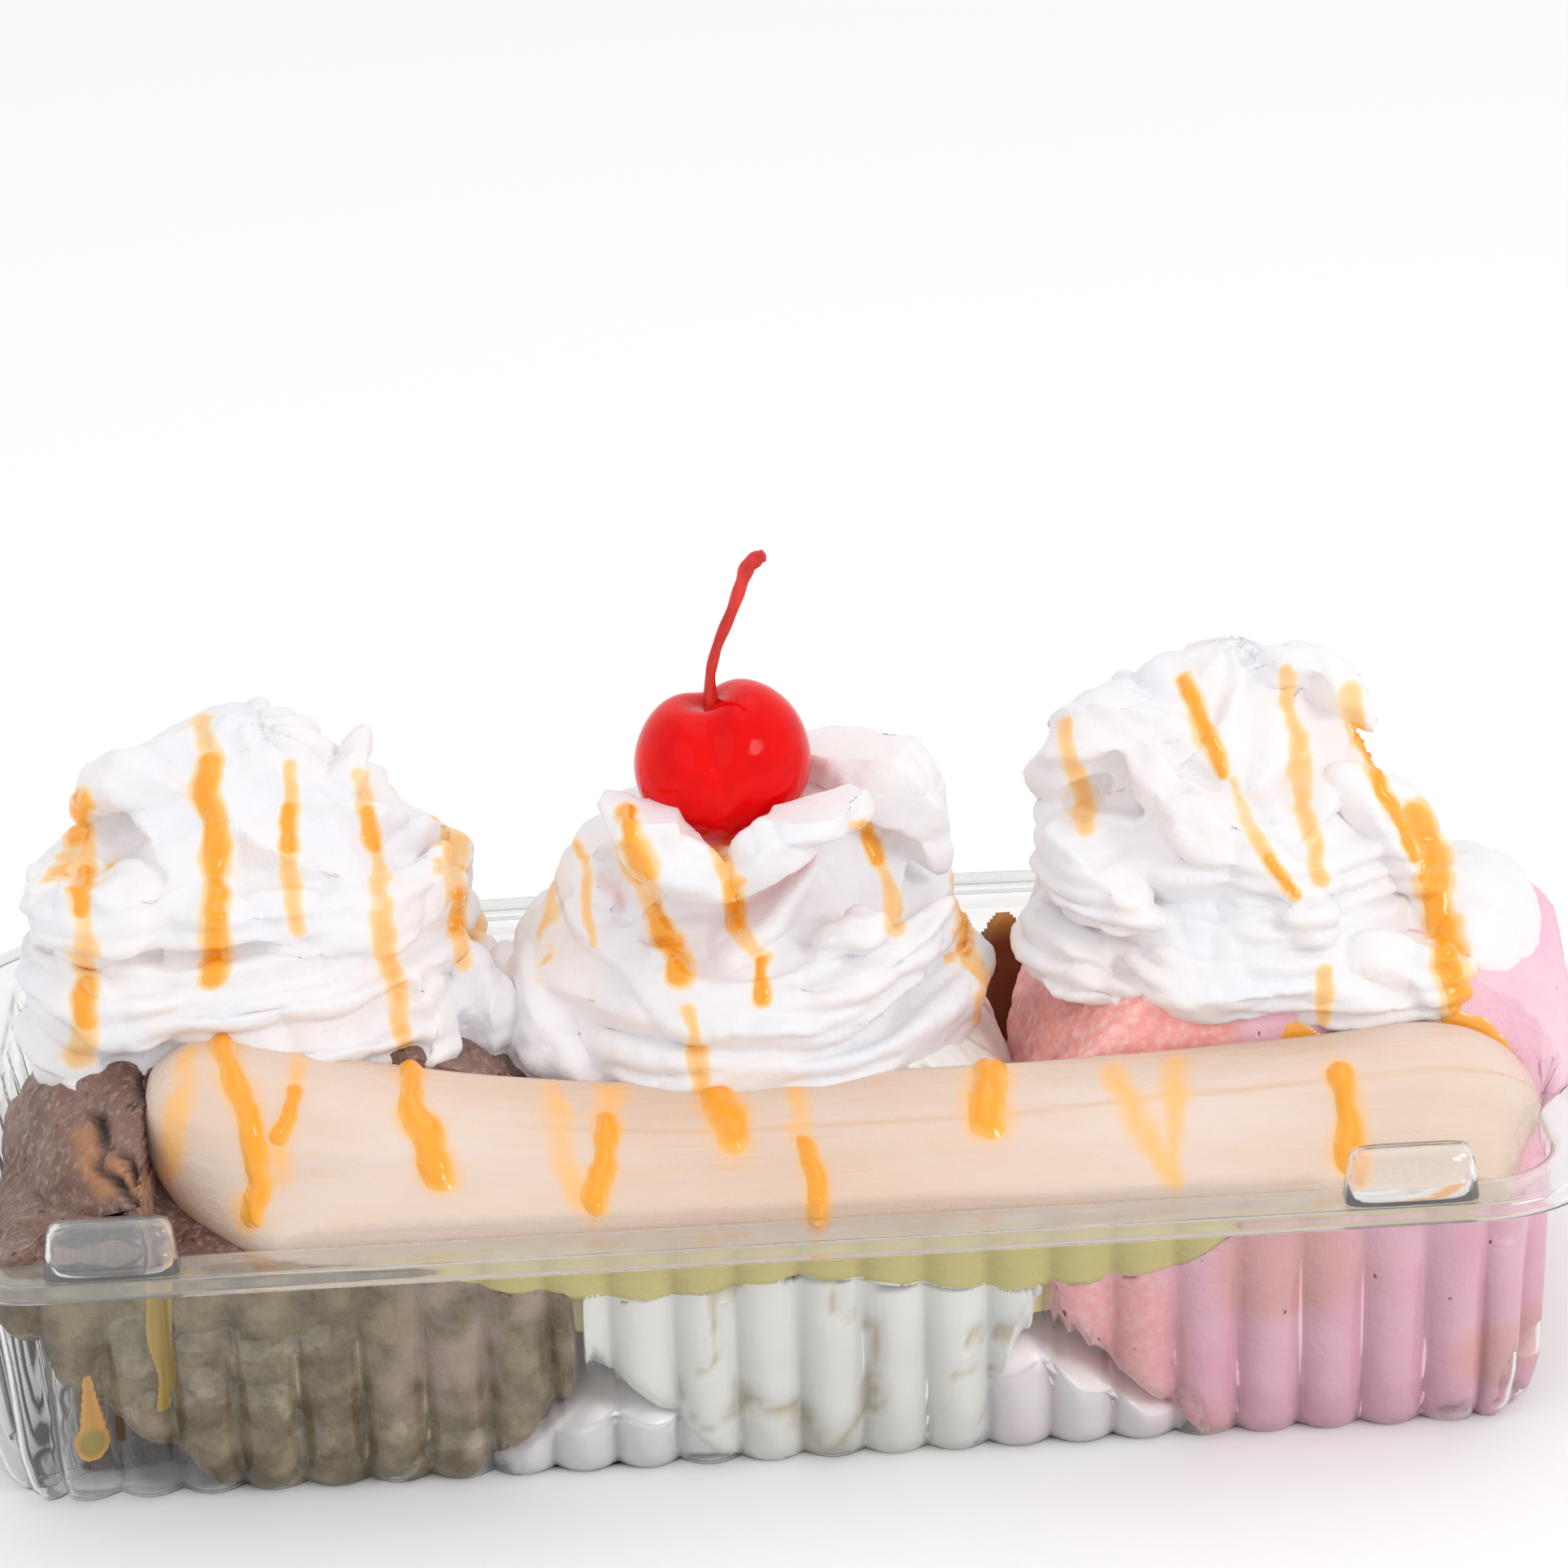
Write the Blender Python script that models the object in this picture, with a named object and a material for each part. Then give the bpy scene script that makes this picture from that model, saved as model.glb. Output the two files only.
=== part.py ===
"""Banana split in a clear fluted takeaway tray.

Three scoops of ice cream stand side by side in a thin-walled tray, half a banana leans along the
front wall, a piped swirl of whipped cream sits on each scoop and a cherry on the middle swirl.
Shapes are worked out in millimetres and written in metres, +Z up. The tray's front rim is straight
and its rear rim bows out, so everything hangs on one empty that centres the whole box on the origin.
"""
import math

import bmesh
import bpy
import numpy as np

MM = 0.001
GAP = 0.45  # clearance left round a piece where a neighbour is cut back from it

# Tray: one sheet, formed into flutes, a flange with a turned-down lip, and two snap buttons
RIM_LENGTH = 207.0
RIM_WIDTH = 104.0
RIM_HEIGHT = 35.5
REAR_BOW = 4.0
SHEET = 0.8
FLANGE = 7.0
LIP = 1.8
CORNER = 11.0
FLUTES = 72
FLUTE_DEPTH = 2.8
BUTTON_SIZE = (16.0, 5.8, 6.8)
BUTTON_X = 77.0
CAVITY_TOP = 62.0  # how high the room for the contents reaches, above every scoop
CAVITY_SPREAD = 2.2  # how far that room reaches out past the wall and the end flanges

# Ice cream: centre and half sizes of each scoop before the tray's walls flatten it. Each is
# pressed hard against the front wall, so its front half is drawn out, and only touches the rear.
CHOCOLATE = ((-57.5, -2.0, 22.0), (35.0, 46.0, 29.5))
VANILLA = ((5.8, -2.0, 20.0), (27.8, 46.0, 27.0))
STRAWBERRY = ((68.3, -2.0, 23.0), (34.2, 46.0, 31.0))
SCOOP_POWER = 2.6
FRONT_STRETCH = 1.6

# Banana half: cut face behind, round side in front
BANANA_START = -74.5
BANANA_END = 94.0
BANANA_BACK = -26.8
BANANA_DEPTH = 14.6
BANANA_HEIGHT = 27.5
BANANA_LEAN = math.radians(10.0)
BANANA_BLUNT = 16.0  # length over which the blunt left end rounds off
BANANA_TAPER = 26.0  # length over which the right end tapers
BANANA_LEVEL = 30.8  # height of its middle line where it sags lowest
BANANA_RISE = (13.0, 3.2)  # how far the middle line climbs towards the left and the right end
BANANA_CURL = 3.0  # how far both ends curl back from the front wall

# Whipped cream: foot centre, foot height, top height and radius of each swirl
CREAM_LEFT = ((-60.0, 2.0), 39.0, 86.0, 31.0)
CREAM_MIDDLE = ((1.0, 1.0), 35.0, 79.0, 31.5)
CREAM_RIGHT = ((62.0, 4.0), 42.5, 87.5, 27.0)
CREAM_TURNS = 2.4
CREAM_RIDGES = 7
# Lobes where the rope stands out further: direction in degrees, height share, how far it stands
# out, and its half widths in radians and in height share. The last is a loose dollop at the foot.
LOBES_LEFT = ((180, 0.86, 6.0, 0.50, 0.09), (180, 0.50, 3.0, 0.70, 0.25), (0, 0.66, 3.0, 0.50, 0.12))
LOBES_MIDDLE = ((0, 0.83, 6.5, 0.60, 0.12),)
LOBES_RIGHT = ((180, 0.80, 7.5, 0.60, 0.12), (0, 0.85, 4.5, 0.50, 0.09), (10, 0.11, 15.0, 0.42, 0.24))

# Cherry and its stem: the stem's points are measured from its foot in the cherry's dimple
CHERRY_CENTRE = (-1.6, -12.0, 81.0)
CHERRY_RADIUS = 10.8
CHERRY_TILT = math.radians(-12.0)
DIMPLE = 0.14
CREASE = 0.13
STEM_FOOT = (-2.7, -12.0, 89.2)
STEM_RADIUS = 0.75
STEM_ROUTE = ((0, 0, 0), (0.1, 0, 3.4), (1.2, 0.3, 7.0), (3.2, 0.5, 11.2), (4.5, 0.3, 14.8),
              (5.2, 0.1, 16.8), (6.5, 0.0, 17.9), (7.7, 0.0, 18.4))
STEM_SWELL = (1.05, 0.85, 0.9, 1.0, 1.1, 1.25, 1.2, 0.9)

COLOURS = {
    "clear_pet": ((0.80, 0.84, 0.80), 0.08),
    "chocolate_ice_cream": ((0.23, 0.12, 0.10), 0.6),
    "vanilla_ice_cream": ((0.85, 0.81, 0.70), 0.55),
    "strawberry_ice_cream": ((0.90, 0.46, 0.54), 0.5),
    "banana_flesh": ((0.90, 0.72, 0.52), 0.45),
    "whipped_cream": ((0.92, 0.90, 0.91), 0.5),
    "maraschino_cherry": ((0.78, 0.005, 0.01), 0.12),
    "cherry_stem": ((0.66, 0.03, 0.015), 0.4),
}


def clear_scene():
    for obj in list(bpy.data.objects):
        bpy.data.objects.remove(obj, do_unlink=True)


def material(name):
    colour, roughness = COLOURS[name]
    mat = bpy.data.materials.new(name)
    mat.use_nodes = True
    shader = mat.node_tree.nodes["Principled BSDF"]
    shader.inputs["Base Color"].default_value = (*colour, 1.0)
    shader.inputs["Roughness"].default_value = roughness
    shader.inputs["Metallic"].default_value = 0.0
    return mat


def add_object(name, data, parent, finish=None):
    obj = bpy.data.objects.new(name, data)
    bpy.context.scene.collection.objects.link(obj)
    obj.parent = parent
    if finish:
        data.materials.append(finish)
    return obj


def mesh_from(name, points, faces, closed=True):
    """A mesh in metres from points in millimetres, shaded smooth with its sharp folds kept.

    A closed one is made of triangles, so that a piece and the room for it have the same facets.
    """
    mesh = bpy.data.meshes.new(name)
    mesh.from_pydata((np.asarray(points) * MM).tolist(), [], faces)
    if closed:
        bm = bmesh.new()
        bm.from_mesh(mesh)
        bmesh.ops.triangulate(bm, faces=bm.faces)
        bmesh.ops.recalc_face_normals(bm, faces=bm.faces)
        bm.to_mesh(mesh)
        bm.free()
    mesh.shade_smooth()
    mesh.set_sharp_from_angle(angle=math.radians(50.0))
    return mesh


def grid_faces(rows, columns):
    """Faces of a closed surface whose rows run round and whose first and last points are poles."""
    faces = []
    last = 1 + rows * columns
    for j in range(columns):
        k = (j + 1) % columns
        faces.append((0, 1 + k, 1 + j))
        for i in range(rows - 1):
            a = 1 + i * columns
            faces.append((a + j, a + k, a + columns + k, a + columns + j))
        a = 1 + (rows - 1) * columns
        faces.append((a + j, a + k, last))
    return faces


def cutter(obj):
    """A shape that only cuts others: it is drawn as wire and left out of the model."""
    obj.hide_render = True
    obj.display_type = "WIRE"
    return obj


def boolean(obj, operation, other):
    mod = obj.modifiers.new(f"{operation}_{other.name}".lower(), "BOOLEAN")
    mod.operation = operation
    mod.solver = "EXACT"
    mod.use_self = True
    mod.object = other


# ---------------------------------------------------------------------------------------------- tray


def plan_point(s, radius):
    """The point at distance s along the wall's plan outline, a rounded rectangle.

    The outline is a rectangle of straight runs grown by radius, so the straight runs keep their
    place along the wall whatever the radius, and only the corners' arcs shrink. s is measured at
    the wall's top, from the middle of the front, and goes round by the right.
    """
    half_x = RIM_LENGTH / 2 - FLANGE - CORNER
    half_y = RIM_WIDTH / 2 - FLANGE - CORNER
    arc = CORNER * math.pi / 2
    runs = ((half_x, -half_y), (half_x, half_y), (-half_x, half_y), (-half_x, -half_y))
    lengths = (half_x, 2 * half_y, 2 * half_x, 2 * half_y, half_x)
    starts = ((0.0, -half_y), *runs)
    for side in range(5):
        turn = side * math.pi / 2
        along = np.array((math.cos(turn), math.sin(turn)))
        outward = np.array((math.sin(turn), -math.cos(turn)))
        if s <= lengths[side] or side == 4:
            return np.array(starts[side]) + along * s + outward * radius
        s -= lengths[side]
        if s <= arc:
            angle = turn + s / CORNER
            outward = np.array((math.sin(angle), -math.cos(angle)))
            return np.array(starts[side + 1]) + outward * radius
        s -= arc
    raise ValueError("s lies past the end of the outline")


def outline_length():
    half_x = RIM_LENGTH / 2 - FLANGE - CORNER
    half_y = RIM_WIDTH / 2 - FLANGE - CORNER
    return 4 * (half_x + half_y) + 2 * math.pi * CORNER


def bowed(point):
    """The rear wall bows outwards towards the middle of its length."""
    x, y, z = point
    reach = max(0.0, y / (RIM_WIDTH / 2)) ** 2
    rise = min(1.0, z / (RIM_HEIGHT - SHEET - LIP))
    return (x, y + REAR_BOW * reach * (1 - (2 * x / RIM_LENGTH) ** 2) * rise, z)


FLUTE_POINTS = 3
# Height, offset of the flutes' crests from the wall's top outline, and share of the full depth
FLUTED_RINGS = ((28.0, -0.3, 0.5), (7.0, -1.1, 1.0), (2.2, -2.4, 0.9), (0.0, -4.4, 0.7))


def flute_ring(height, offset, share):
    """One point ring of the fluted wall: round-fronted lobes that meet in inward cusps."""
    count = FLUTES * FLUTE_POINTS
    pitch = outline_length() / count
    ring = []
    for i in range(count):
        across = 2.0 * ((i % FLUTE_POINTS) / FLUTE_POINTS) - 1.0
        hollow = FLUTE_DEPTH * share * across * across
        s = (i - FLUTE_POINTS / 2) * pitch
        ring.append(bowed((*plan_point(s % outline_length(), CORNER + offset - hollow), height)))
    return ring


def plain_positions():
    """Which of the fluted ring's points the plain rings above it share: all at the corners."""
    keep = []
    pitch = outline_length() / (FLUTES * FLUTE_POINTS)
    half_x = RIM_LENGTH / 2 - FLANGE - CORNER
    half_y = RIM_WIDTH / 2 - FLANGE - CORNER
    for i in range(FLUTES * FLUTE_POINTS):
        s = ((i - FLUTE_POINTS / 2) * pitch) % outline_length()
        x, y = plan_point(s, CORNER)
        at_corner = abs(x) > half_x - 0.5 and abs(y) > half_y - 0.5
        if at_corner or i % (FLUTE_POINTS * 3) == 0:
            keep.append(i)
    return keep


def plain_ring(height, offset, keep):
    pitch = outline_length() / (FLUTES * FLUTE_POINTS)
    ring = []
    for i in keep:
        s = ((i - FLUTE_POINTS / 2) * pitch) % outline_length()
        ring.append(bowed((*plan_point(s, CORNER + offset), height)))
    return ring


def tray_sheet():
    """The underside and outer face of the tray from the lip's edge down to the closed base."""
    keep = plain_positions()
    under = RIM_HEIGHT - SHEET
    plain = [
        plain_ring(under - LIP, FLANGE - SHEET, keep),
        plain_ring(under, FLANGE - SHEET, keep),
        plain_ring(under, 0.0, keep),
        plain_ring(under - 2.5, -0.3, keep),
    ]
    fluted = [flute_ring(*ring) for ring in FLUTED_RINGS]
    points = [p for ring in plain + fluted for p in ring]
    faces = []
    count = len(keep)
    for i in range(len(plain) - 1):
        for j in range(count):
            k = (j + 1) % count
            faces.append((i * count + j, i * count + k, (i + 1) * count + k, (i + 1) * count + j))
    above = (len(plain) - 1) * count
    first = len(plain) * count
    total = FLUTES * FLUTE_POINTS
    for j in range(count):
        k = (j + 1) % count
        span = (keep[k] - keep[j]) % total
        middle = span // 2
        for step in range(span):
            a = first + (keep[j] + step) % total
            b = first + (keep[j] + step + 1) % total
            faces.append((above + (j if step < middle else k), b, a))
        faces.append((above + j, above + k, first + (keep[j] + middle) % total))
    for i in range(len(fluted) - 1):
        for j in range(total):
            k = (j + 1) % total
            a = first + i * total
            faces.append((a + j, a + k, a + total + k, a + total + j))
    base = first + (len(fluted) - 1) * total
    faces.append(tuple(range(base, base + total)))
    return points, [face[::-1] for face in faces]


def rounded_block(name, size, corner, parent):
    """A block with rounded upright corners and a softened top, standing on its own z = 0."""
    bm = bmesh.new()
    bmesh.ops.create_cube(bm, size=1.0)
    for vert in bm.verts:
        vert.co.x *= size[0] * MM
        vert.co.y *= size[1] * MM
        vert.co.z = (vert.co.z + 0.5) * size[2] * MM
    upright = [e for e in bm.edges if abs(e.verts[0].co.z - e.verts[1].co.z) > 0.5 * size[2] * MM]
    bmesh.ops.bevel(bm, geom=upright, offset=corner * MM, segments=3, profile=0.5, affect="EDGES")
    top = max(v.co.z for v in bm.verts)
    rim = [e for e in bm.edges if min(v.co.z for v in e.verts) > top - 1e-7]
    bmesh.ops.bevel(bm, geom=rim, offset=0.8 * MM, segments=1, profile=0.5, affect="EDGES")
    mesh = bpy.data.meshes.new(name)
    bm.to_mesh(mesh)
    bm.free()
    return cutter(add_object(name, mesh, parent))


def build_tray(parent):
    points, faces = tray_sheet()
    tray = add_object("tray", mesh_from("tray", points, faces, closed=False), parent, material("clear_pet"))
    wall = tray.modifiers.new("sheet", "SOLIDIFY")
    wall.thickness = SHEET * MM
    wall.offset = -1.0
    wall.use_even_offset = True
    wall.use_rim = True
    middle = -(RIM_WIDTH / 2 - FLANGE / 2 - 0.2)
    for side in (-1, 1):
        boss = rounded_block(f"button_{side}", BUTTON_SIZE, 1.8, parent)
        boss.location = (side * BUTTON_X * MM, middle * MM, (RIM_HEIGHT - 0.4) * MM)
        inner = (BUTTON_SIZE[0] - 2 * SHEET, BUTTON_SIZE[1] - 2 * SHEET, BUTTON_SIZE[2] + 0.6)
        pocket = rounded_block(f"button_pocket_{side}", inner, 1.2, parent)
        pocket.location = (side * BUTTON_X * MM, middle * MM, (RIM_HEIGHT - 1.8) * MM)
        boolean(tray, "UNION", boss)
        boolean(tray, "DIFFERENCE", pocket)
    return tray


def spread_over_end(point, height):
    """The point moved out past the end flange, the more so the nearer it is to the tray's end."""
    x, y, _ = point
    half_x = RIM_LENGTH / 2 - FLANGE - CORNER
    share = max(0.0, min(1.0, (abs(x) - half_x) / CORNER))
    return (x + math.copysign(share * (FLANGE + CAVITY_SPREAD), x), y, height)


def cavity(parent):
    """The room inside the tray for its contents, which spread over the end flanges above the rim."""
    over = RIM_HEIGHT + 0.4
    side = -2.0 * SHEET - 0.4
    levels = [(SHEET + 0.3, FLUTED_RINGS[3][1] - FLUTE_DEPTH + side + 0.6)]
    levels += [(h + SHEET, o - FLUTE_DEPTH * share + side) for h, o, share in FLUTED_RINGS[2::-1]]
    levels += [(RIM_HEIGHT - 4.0, -0.3 + side), (over, -0.3 + side)]
    keep = [i for n, i in enumerate(plain_positions()) if n % 2 == 0]
    rings = [plain_ring(height, offset, keep) for height, offset in levels]
    rings += [[spread_over_end(point, height) for point in rings[-1]] for height in (over, CAVITY_TOP)]
    points = [(0.0, 0.0, levels[0][0])] + [p for ring in rings for p in ring]
    points.append((0.0, 0.0, levels[-1][0]))
    mesh = mesh_from("cavity", points, grid_faces(len(rings), len(keep)))
    return cutter(add_object("cavity", mesh, parent))


# ----------------------------------------------------------------------------------- round surfaces


def sphere_directions(rows, columns):
    """Unit directions: a pole, rows of points that run round, and the other pole."""
    down = np.pi * np.arange(1, rows + 1) / (rows + 1)
    round_ = 2 * np.pi * np.arange(columns) / columns
    phi, theta = np.meshgrid(down, round_, indexing="ij")
    body = np.stack((np.sin(phi) * np.cos(theta), np.sin(phi) * np.sin(theta), np.cos(phi)), axis=-1)
    return np.concatenate(([(0.0, 0.0, 1.0)], body.reshape(-1, 3), [(0.0, 0.0, -1.0)]))


def scoop(spec, lumps, rows=8, columns=18):
    """A rounded box, |x/a|^p + |y/b|^p + |z/c|^p = 1, with soft lumps raised in named directions."""
    centre, half = spec
    way = sphere_directions(rows, columns)
    pressed = (way[:, 1:2] < 0) & (way[:, 2:3] < 0.05)
    reach = np.where(pressed, (half[0], half[1] * FRONT_STRETCH, half[2]), half)
    radius = (np.abs(way / reach) ** SCOOP_POWER).sum(axis=1) ** (-1.0 / SCOOP_POWER)
    for towards, gain, width in lumps:
        towards = np.array(towards) / np.linalg.norm(towards)
        radius = radius * (1 + gain * np.exp(-(1 - way @ towards) / width))
    return np.array(centre) + way * radius[:, None], grid_faces(rows, columns)


def swirl(spec, phase, lobes, rows=12, columns=26):
    """A piped swirl: a domed cone whose side is a rope wound upwards, with slanting ridges.

    The radius at height share h is (1 - h^2)^0.66 of the foot's, drawn in a little at the foot.
    The rope swells it by an arch that repeats once a turn, and the ridges by a slanting cosine.
    Each lobe adds a smooth bulge, a bell curve both round the swirl and up it.
    """
    (x, y), foot, top, radius = spec
    share = np.linspace(0.0, 0.985, rows)
    h, theta = np.meshgrid(share, 2 * np.pi * np.arange(columns) / columns, indexing="ij")
    profile = (1 - h ** 2) ** 0.66 * (1 - 0.20 * np.clip(1 - h / 0.16, 0, 1) ** 2)
    turn = h * CREAM_TURNS - theta / (2 * np.pi) + phase
    rope = np.sqrt(np.abs(np.sin(np.pi * turn)))
    ridge = np.cos(CREAM_RIDGES * theta + 14.0 * h)
    reach = radius * profile * (0.90 + 0.13 * rope + 0.035 * ridge)
    for direction, height, out, width, tall in lobes:
        aside = np.angle(np.exp(1j * (theta - math.radians(direction))))
        reach = reach + out * np.exp(-((aside / width) ** 2) - ((h - height) / tall) ** 2)
    z = foot + h * (top - foot)
    body = np.stack((x + reach * np.cos(theta), y + reach * np.sin(theta), z), axis=-1)
    points = np.concatenate(([(x, y, foot)], body.reshape(-1, 3), [(x, y, top)]))
    return points, grid_faces(rows, columns)


# ---------------------------------------------------------------------------------------- the food


def banana(forward=0.0):
    """Half a banana: a D-shaped section, cut face behind, carried along a gently sagging line.

    The room that neighbours leave for it also reaches forward, so that nothing lies in front of it.
    """
    rings = 17
    front = 9
    even = np.linspace(BANANA_START, BANANA_END, rings)
    crowded = BANANA_START + (BANANA_END - BANANA_START) * (1 - np.cos(np.linspace(0, np.pi, rings))) / 2
    x = 0.45 * even + 0.55 * crowded
    left = np.clip((x - BANANA_START) / BANANA_BLUNT, 0, 1)
    right = np.clip((BANANA_END - x) / BANANA_TAPER, 0, 1)
    size = np.sqrt(1 - (1 - left) ** 2) * (1 - (1 - right) ** 2.6) ** 0.6
    size = np.maximum(size, 0.12)
    to_left = np.clip(x / BANANA_START, 0, None)
    to_right = np.clip(x / BANANA_END, 0, None)
    middle = BANANA_LEVEL + BANANA_RISE[0] * to_left ** 1.9 + BANANA_RISE[1] * to_right ** 4
    back = BANANA_BACK + BANANA_CURL * (x / BANANA_END) ** 2
    angle = np.linspace(-np.pi / 2, np.pi / 2, front)
    section_y = np.concatenate((-np.cos(angle), (0.10, 0.14, 0.10)))
    section_z = np.concatenate((np.sin(angle), (0.62, 0.0, -0.62)))
    depth = BANANA_DEPTH + forward
    height = BANANA_HEIGHT / 2
    cos, sin = math.cos(BANANA_LEAN), math.sin(BANANA_LEAN)
    points = []
    for i in range(rings):
        y = section_y * depth * size[i]
        z = section_z * height * size[i]
        y, z = y * cos + z * sin, z * cos - y * sin
        points += [(x[i], back[i] + a, middle[i] + b) for a, b in zip(y, z)]
    columns = len(section_y)
    end = 0.8
    tips = ((x[0] - end, back[0] - 1.0, middle[0]), (x[-1] + end, back[-1] - 1.0, middle[-1]))
    return [tips[0]] + points + [tips[1]], grid_faces(rings, columns)


def cherry(rows=8, columns=14):
    """A ball with a dimple at its stem and a crease over its top, so that it is heart-shaped.

    Both are bell curves: the dimple in the angle from the stem, the crease in the angle sideways.
    """
    way = sphere_directions(rows, columns)
    polar = np.arccos(np.clip(way[:, 2], -1, 1))
    across = np.exp(-((np.arctan2(way[:, 0], np.abs(way[:, 2]) + 0.05) / 0.30) ** 2))
    crease = across * np.clip(way[:, 2] + 0.25, 0, 1)
    radius = CHERRY_RADIUS * (1 - DIMPLE * np.exp(-((polar / 0.40) ** 2)) - CREASE * crease)
    local = way * radius[:, None] * (1.0, 1.0, 0.95)
    cos, sin = math.cos(CHERRY_TILT), math.sin(CHERRY_TILT)
    x = local[:, 0] * cos + local[:, 2] * sin
    z = local[:, 2] * cos - local[:, 0] * sin
    return np.stack((x, local[:, 1], z), axis=1) + CHERRY_CENTRE, grid_faces(rows, columns)


def cherry_stem(parent):
    """A thin stalk in a lazy S, from the cherry's dimple to a small bent knob."""
    curve = bpy.data.curves.new("cherry_stem", "CURVE")
    curve.dimensions = "3D"
    curve.bevel_depth = STEM_RADIUS * MM
    curve.bevel_resolution = 2
    curve.use_fill_caps = True
    spline = curve.splines.new("POLY")
    spline.points.add(len(STEM_ROUTE) - 1)
    for point, step, radius in zip(spline.points, STEM_ROUTE, STEM_SWELL):
        place = [(a + b) * MM for a, b in zip(STEM_FOOT, step)]
        point.co = (*place, 1.0)
        point.radius = radius
    return add_object("cherry_stem", curve, parent, material("cherry_stem"))


# Name, material and shape, in the order in which each makes room for the ones before it
PIECES = (
    ("banana_half", "banana_flesh", banana),
    ("cherry", "maraschino_cherry", cherry),
    ("cream_left", "whipped_cream", lambda: swirl(CREAM_LEFT, 0.0, LOBES_LEFT)),
    ("cream_middle", "whipped_cream", lambda: swirl(CREAM_MIDDLE, 0.6, LOBES_MIDDLE)),
    ("cream_right", "whipped_cream", lambda: swirl(CREAM_RIGHT, 0.35, LOBES_RIGHT)),
    ("chocolate_scoop", "chocolate_ice_cream",
     lambda: scoop(CHOCOLATE, (((-1, -0.5, 0.5), 0.06, 0.2),))),
    ("strawberry_scoop", "strawberry_ice_cream",
     lambda: scoop(STRAWBERRY, (((1, 0.2, 0.7), 0.20, 0.12),))),
    ("vanilla_scoop", "vanilla_ice_cream", lambda: scoop(VANILLA, ())),
)


def boxes_meet(a, b):
    a, b = np.asarray(a), np.asarray(b)
    return bool(np.all(a.min(axis=0) < b.max(axis=0)) and np.all(b.min(axis=0) < a.max(axis=0)))


def room_for(name, points, faces, parent):
    """A cutter a little larger than a piece all round, for its neighbours to be cut back with."""
    room = cutter(add_object(f"room_for_{name}", mesh_from(name, points, faces), parent))
    swell = room.modifiers.new("clearance", "DISPLACE")
    swell.direction = "NORMAL"
    swell.mid_level = 0.0
    swell.strength = GAP * MM
    return room


def main():
    clear_scene()
    split = bpy.data.objects.new("split", None)
    bpy.context.scene.collection.objects.link(split)
    split.location = (0.0, -REAR_BOW / 2 * MM, 0.0)
    build_tray(split)
    inside = cavity(split)
    rooms = []
    for name, finish, shape in PIECES:
        points, faces = shape()
        obj = add_object(name, mesh_from(name, points, faces), split, material(finish))
        if name.endswith("_scoop"):
            boolean(obj, "INTERSECT", inside)
        for other_points, other in rooms:
            if boxes_meet(points, other_points):
                boolean(obj, "DIFFERENCE", other)
        if shape is banana:
            points, faces = banana(forward=20.0)
        rooms.append((points, room_for(name, points, faces, split)))
    cherry_stem(split)


main()
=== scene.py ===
"""Banana split in a clear fluted tray: its looks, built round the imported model.

Shapes are worked out in millimetres in the tray's own plan, whose front rim is straight, and are
moved back by half of the rear rim's bow when they are written in metres, as the model's are.
"""
import math

import bpy
import numpy as np
from mathutils import Matrix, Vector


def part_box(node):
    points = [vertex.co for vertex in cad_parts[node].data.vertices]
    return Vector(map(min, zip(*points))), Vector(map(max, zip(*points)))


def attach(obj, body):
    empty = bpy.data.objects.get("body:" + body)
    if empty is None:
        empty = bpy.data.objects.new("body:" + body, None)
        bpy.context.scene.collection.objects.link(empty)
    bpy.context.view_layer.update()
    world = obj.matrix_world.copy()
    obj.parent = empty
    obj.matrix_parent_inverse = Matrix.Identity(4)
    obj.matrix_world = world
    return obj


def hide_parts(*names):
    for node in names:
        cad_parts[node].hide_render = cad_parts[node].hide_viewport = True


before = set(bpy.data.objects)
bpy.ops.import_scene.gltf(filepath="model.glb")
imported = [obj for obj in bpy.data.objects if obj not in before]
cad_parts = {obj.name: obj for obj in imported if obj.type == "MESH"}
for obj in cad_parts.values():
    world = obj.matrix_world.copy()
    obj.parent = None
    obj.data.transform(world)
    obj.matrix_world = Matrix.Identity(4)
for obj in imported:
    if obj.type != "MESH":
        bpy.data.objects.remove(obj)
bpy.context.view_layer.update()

bl_info = {
    "name": "Banana Split",
    "version": (1, 0, 0),
    "blender": (4, 5, 0),
    "location": "View3D > Sidebar > Banana Split",
    "description": "Builds the finished surfaces of a banana split round its packed model",
    "category": "Add Mesh",
}

MM = 0.001
BODY = "root"


def node_box(name):
    """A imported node's lowest and highest corners in millimetres, in the tray's own plan."""
    low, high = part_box(name)
    shift = np.array((0.0, REAR_BOW / 2, 0.0))
    return np.array(low) / MM + shift, np.array(high) / MM + shift


# The tray's driving sizes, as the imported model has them
REAR_BOW = 4.0
FLANGE = 7.0
CORNER = 11.0
LIP = 1.8
SHEET = 0.8
FLUTES = 72
FLUTE_DEPTH = 2.8
RIM_LENGTH = float(np.subtract(*reversed(node_box("tray")))[0])
RIM_WIDTH = float(np.subtract(*reversed(node_box("tray")))[1]) - REAR_BOW
RIM_HEIGHT = 35.5
BUTTON_SIZE = (16.0, 5.8, 6.4)
BUTTON_X = 77.0
HALF_X = RIM_LENGTH / 2 - FLANGE - CORNER
HALF_Y = RIM_WIDTH / 2 - FLANGE - CORNER
OUTLINE = 4 * (HALF_X + HALF_Y) + 2 * math.pi * CORNER
# Height, offset of the flutes' crests from the wall's top outline, share of the flutes' full depth
WALL_HEIGHTS = np.array((0.0, 2.2, 7.0, 20.0, 29.0, 33.0, 34.7))
WALL_OFFSETS = np.array((-4.4, -2.4, -1.1, -0.6, -0.3, -0.2, 0.0))
WALL_DEPTHS = np.array((0.7, 0.9, 1.0, 0.75, 0.35, 0.0, 0.0))

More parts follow.
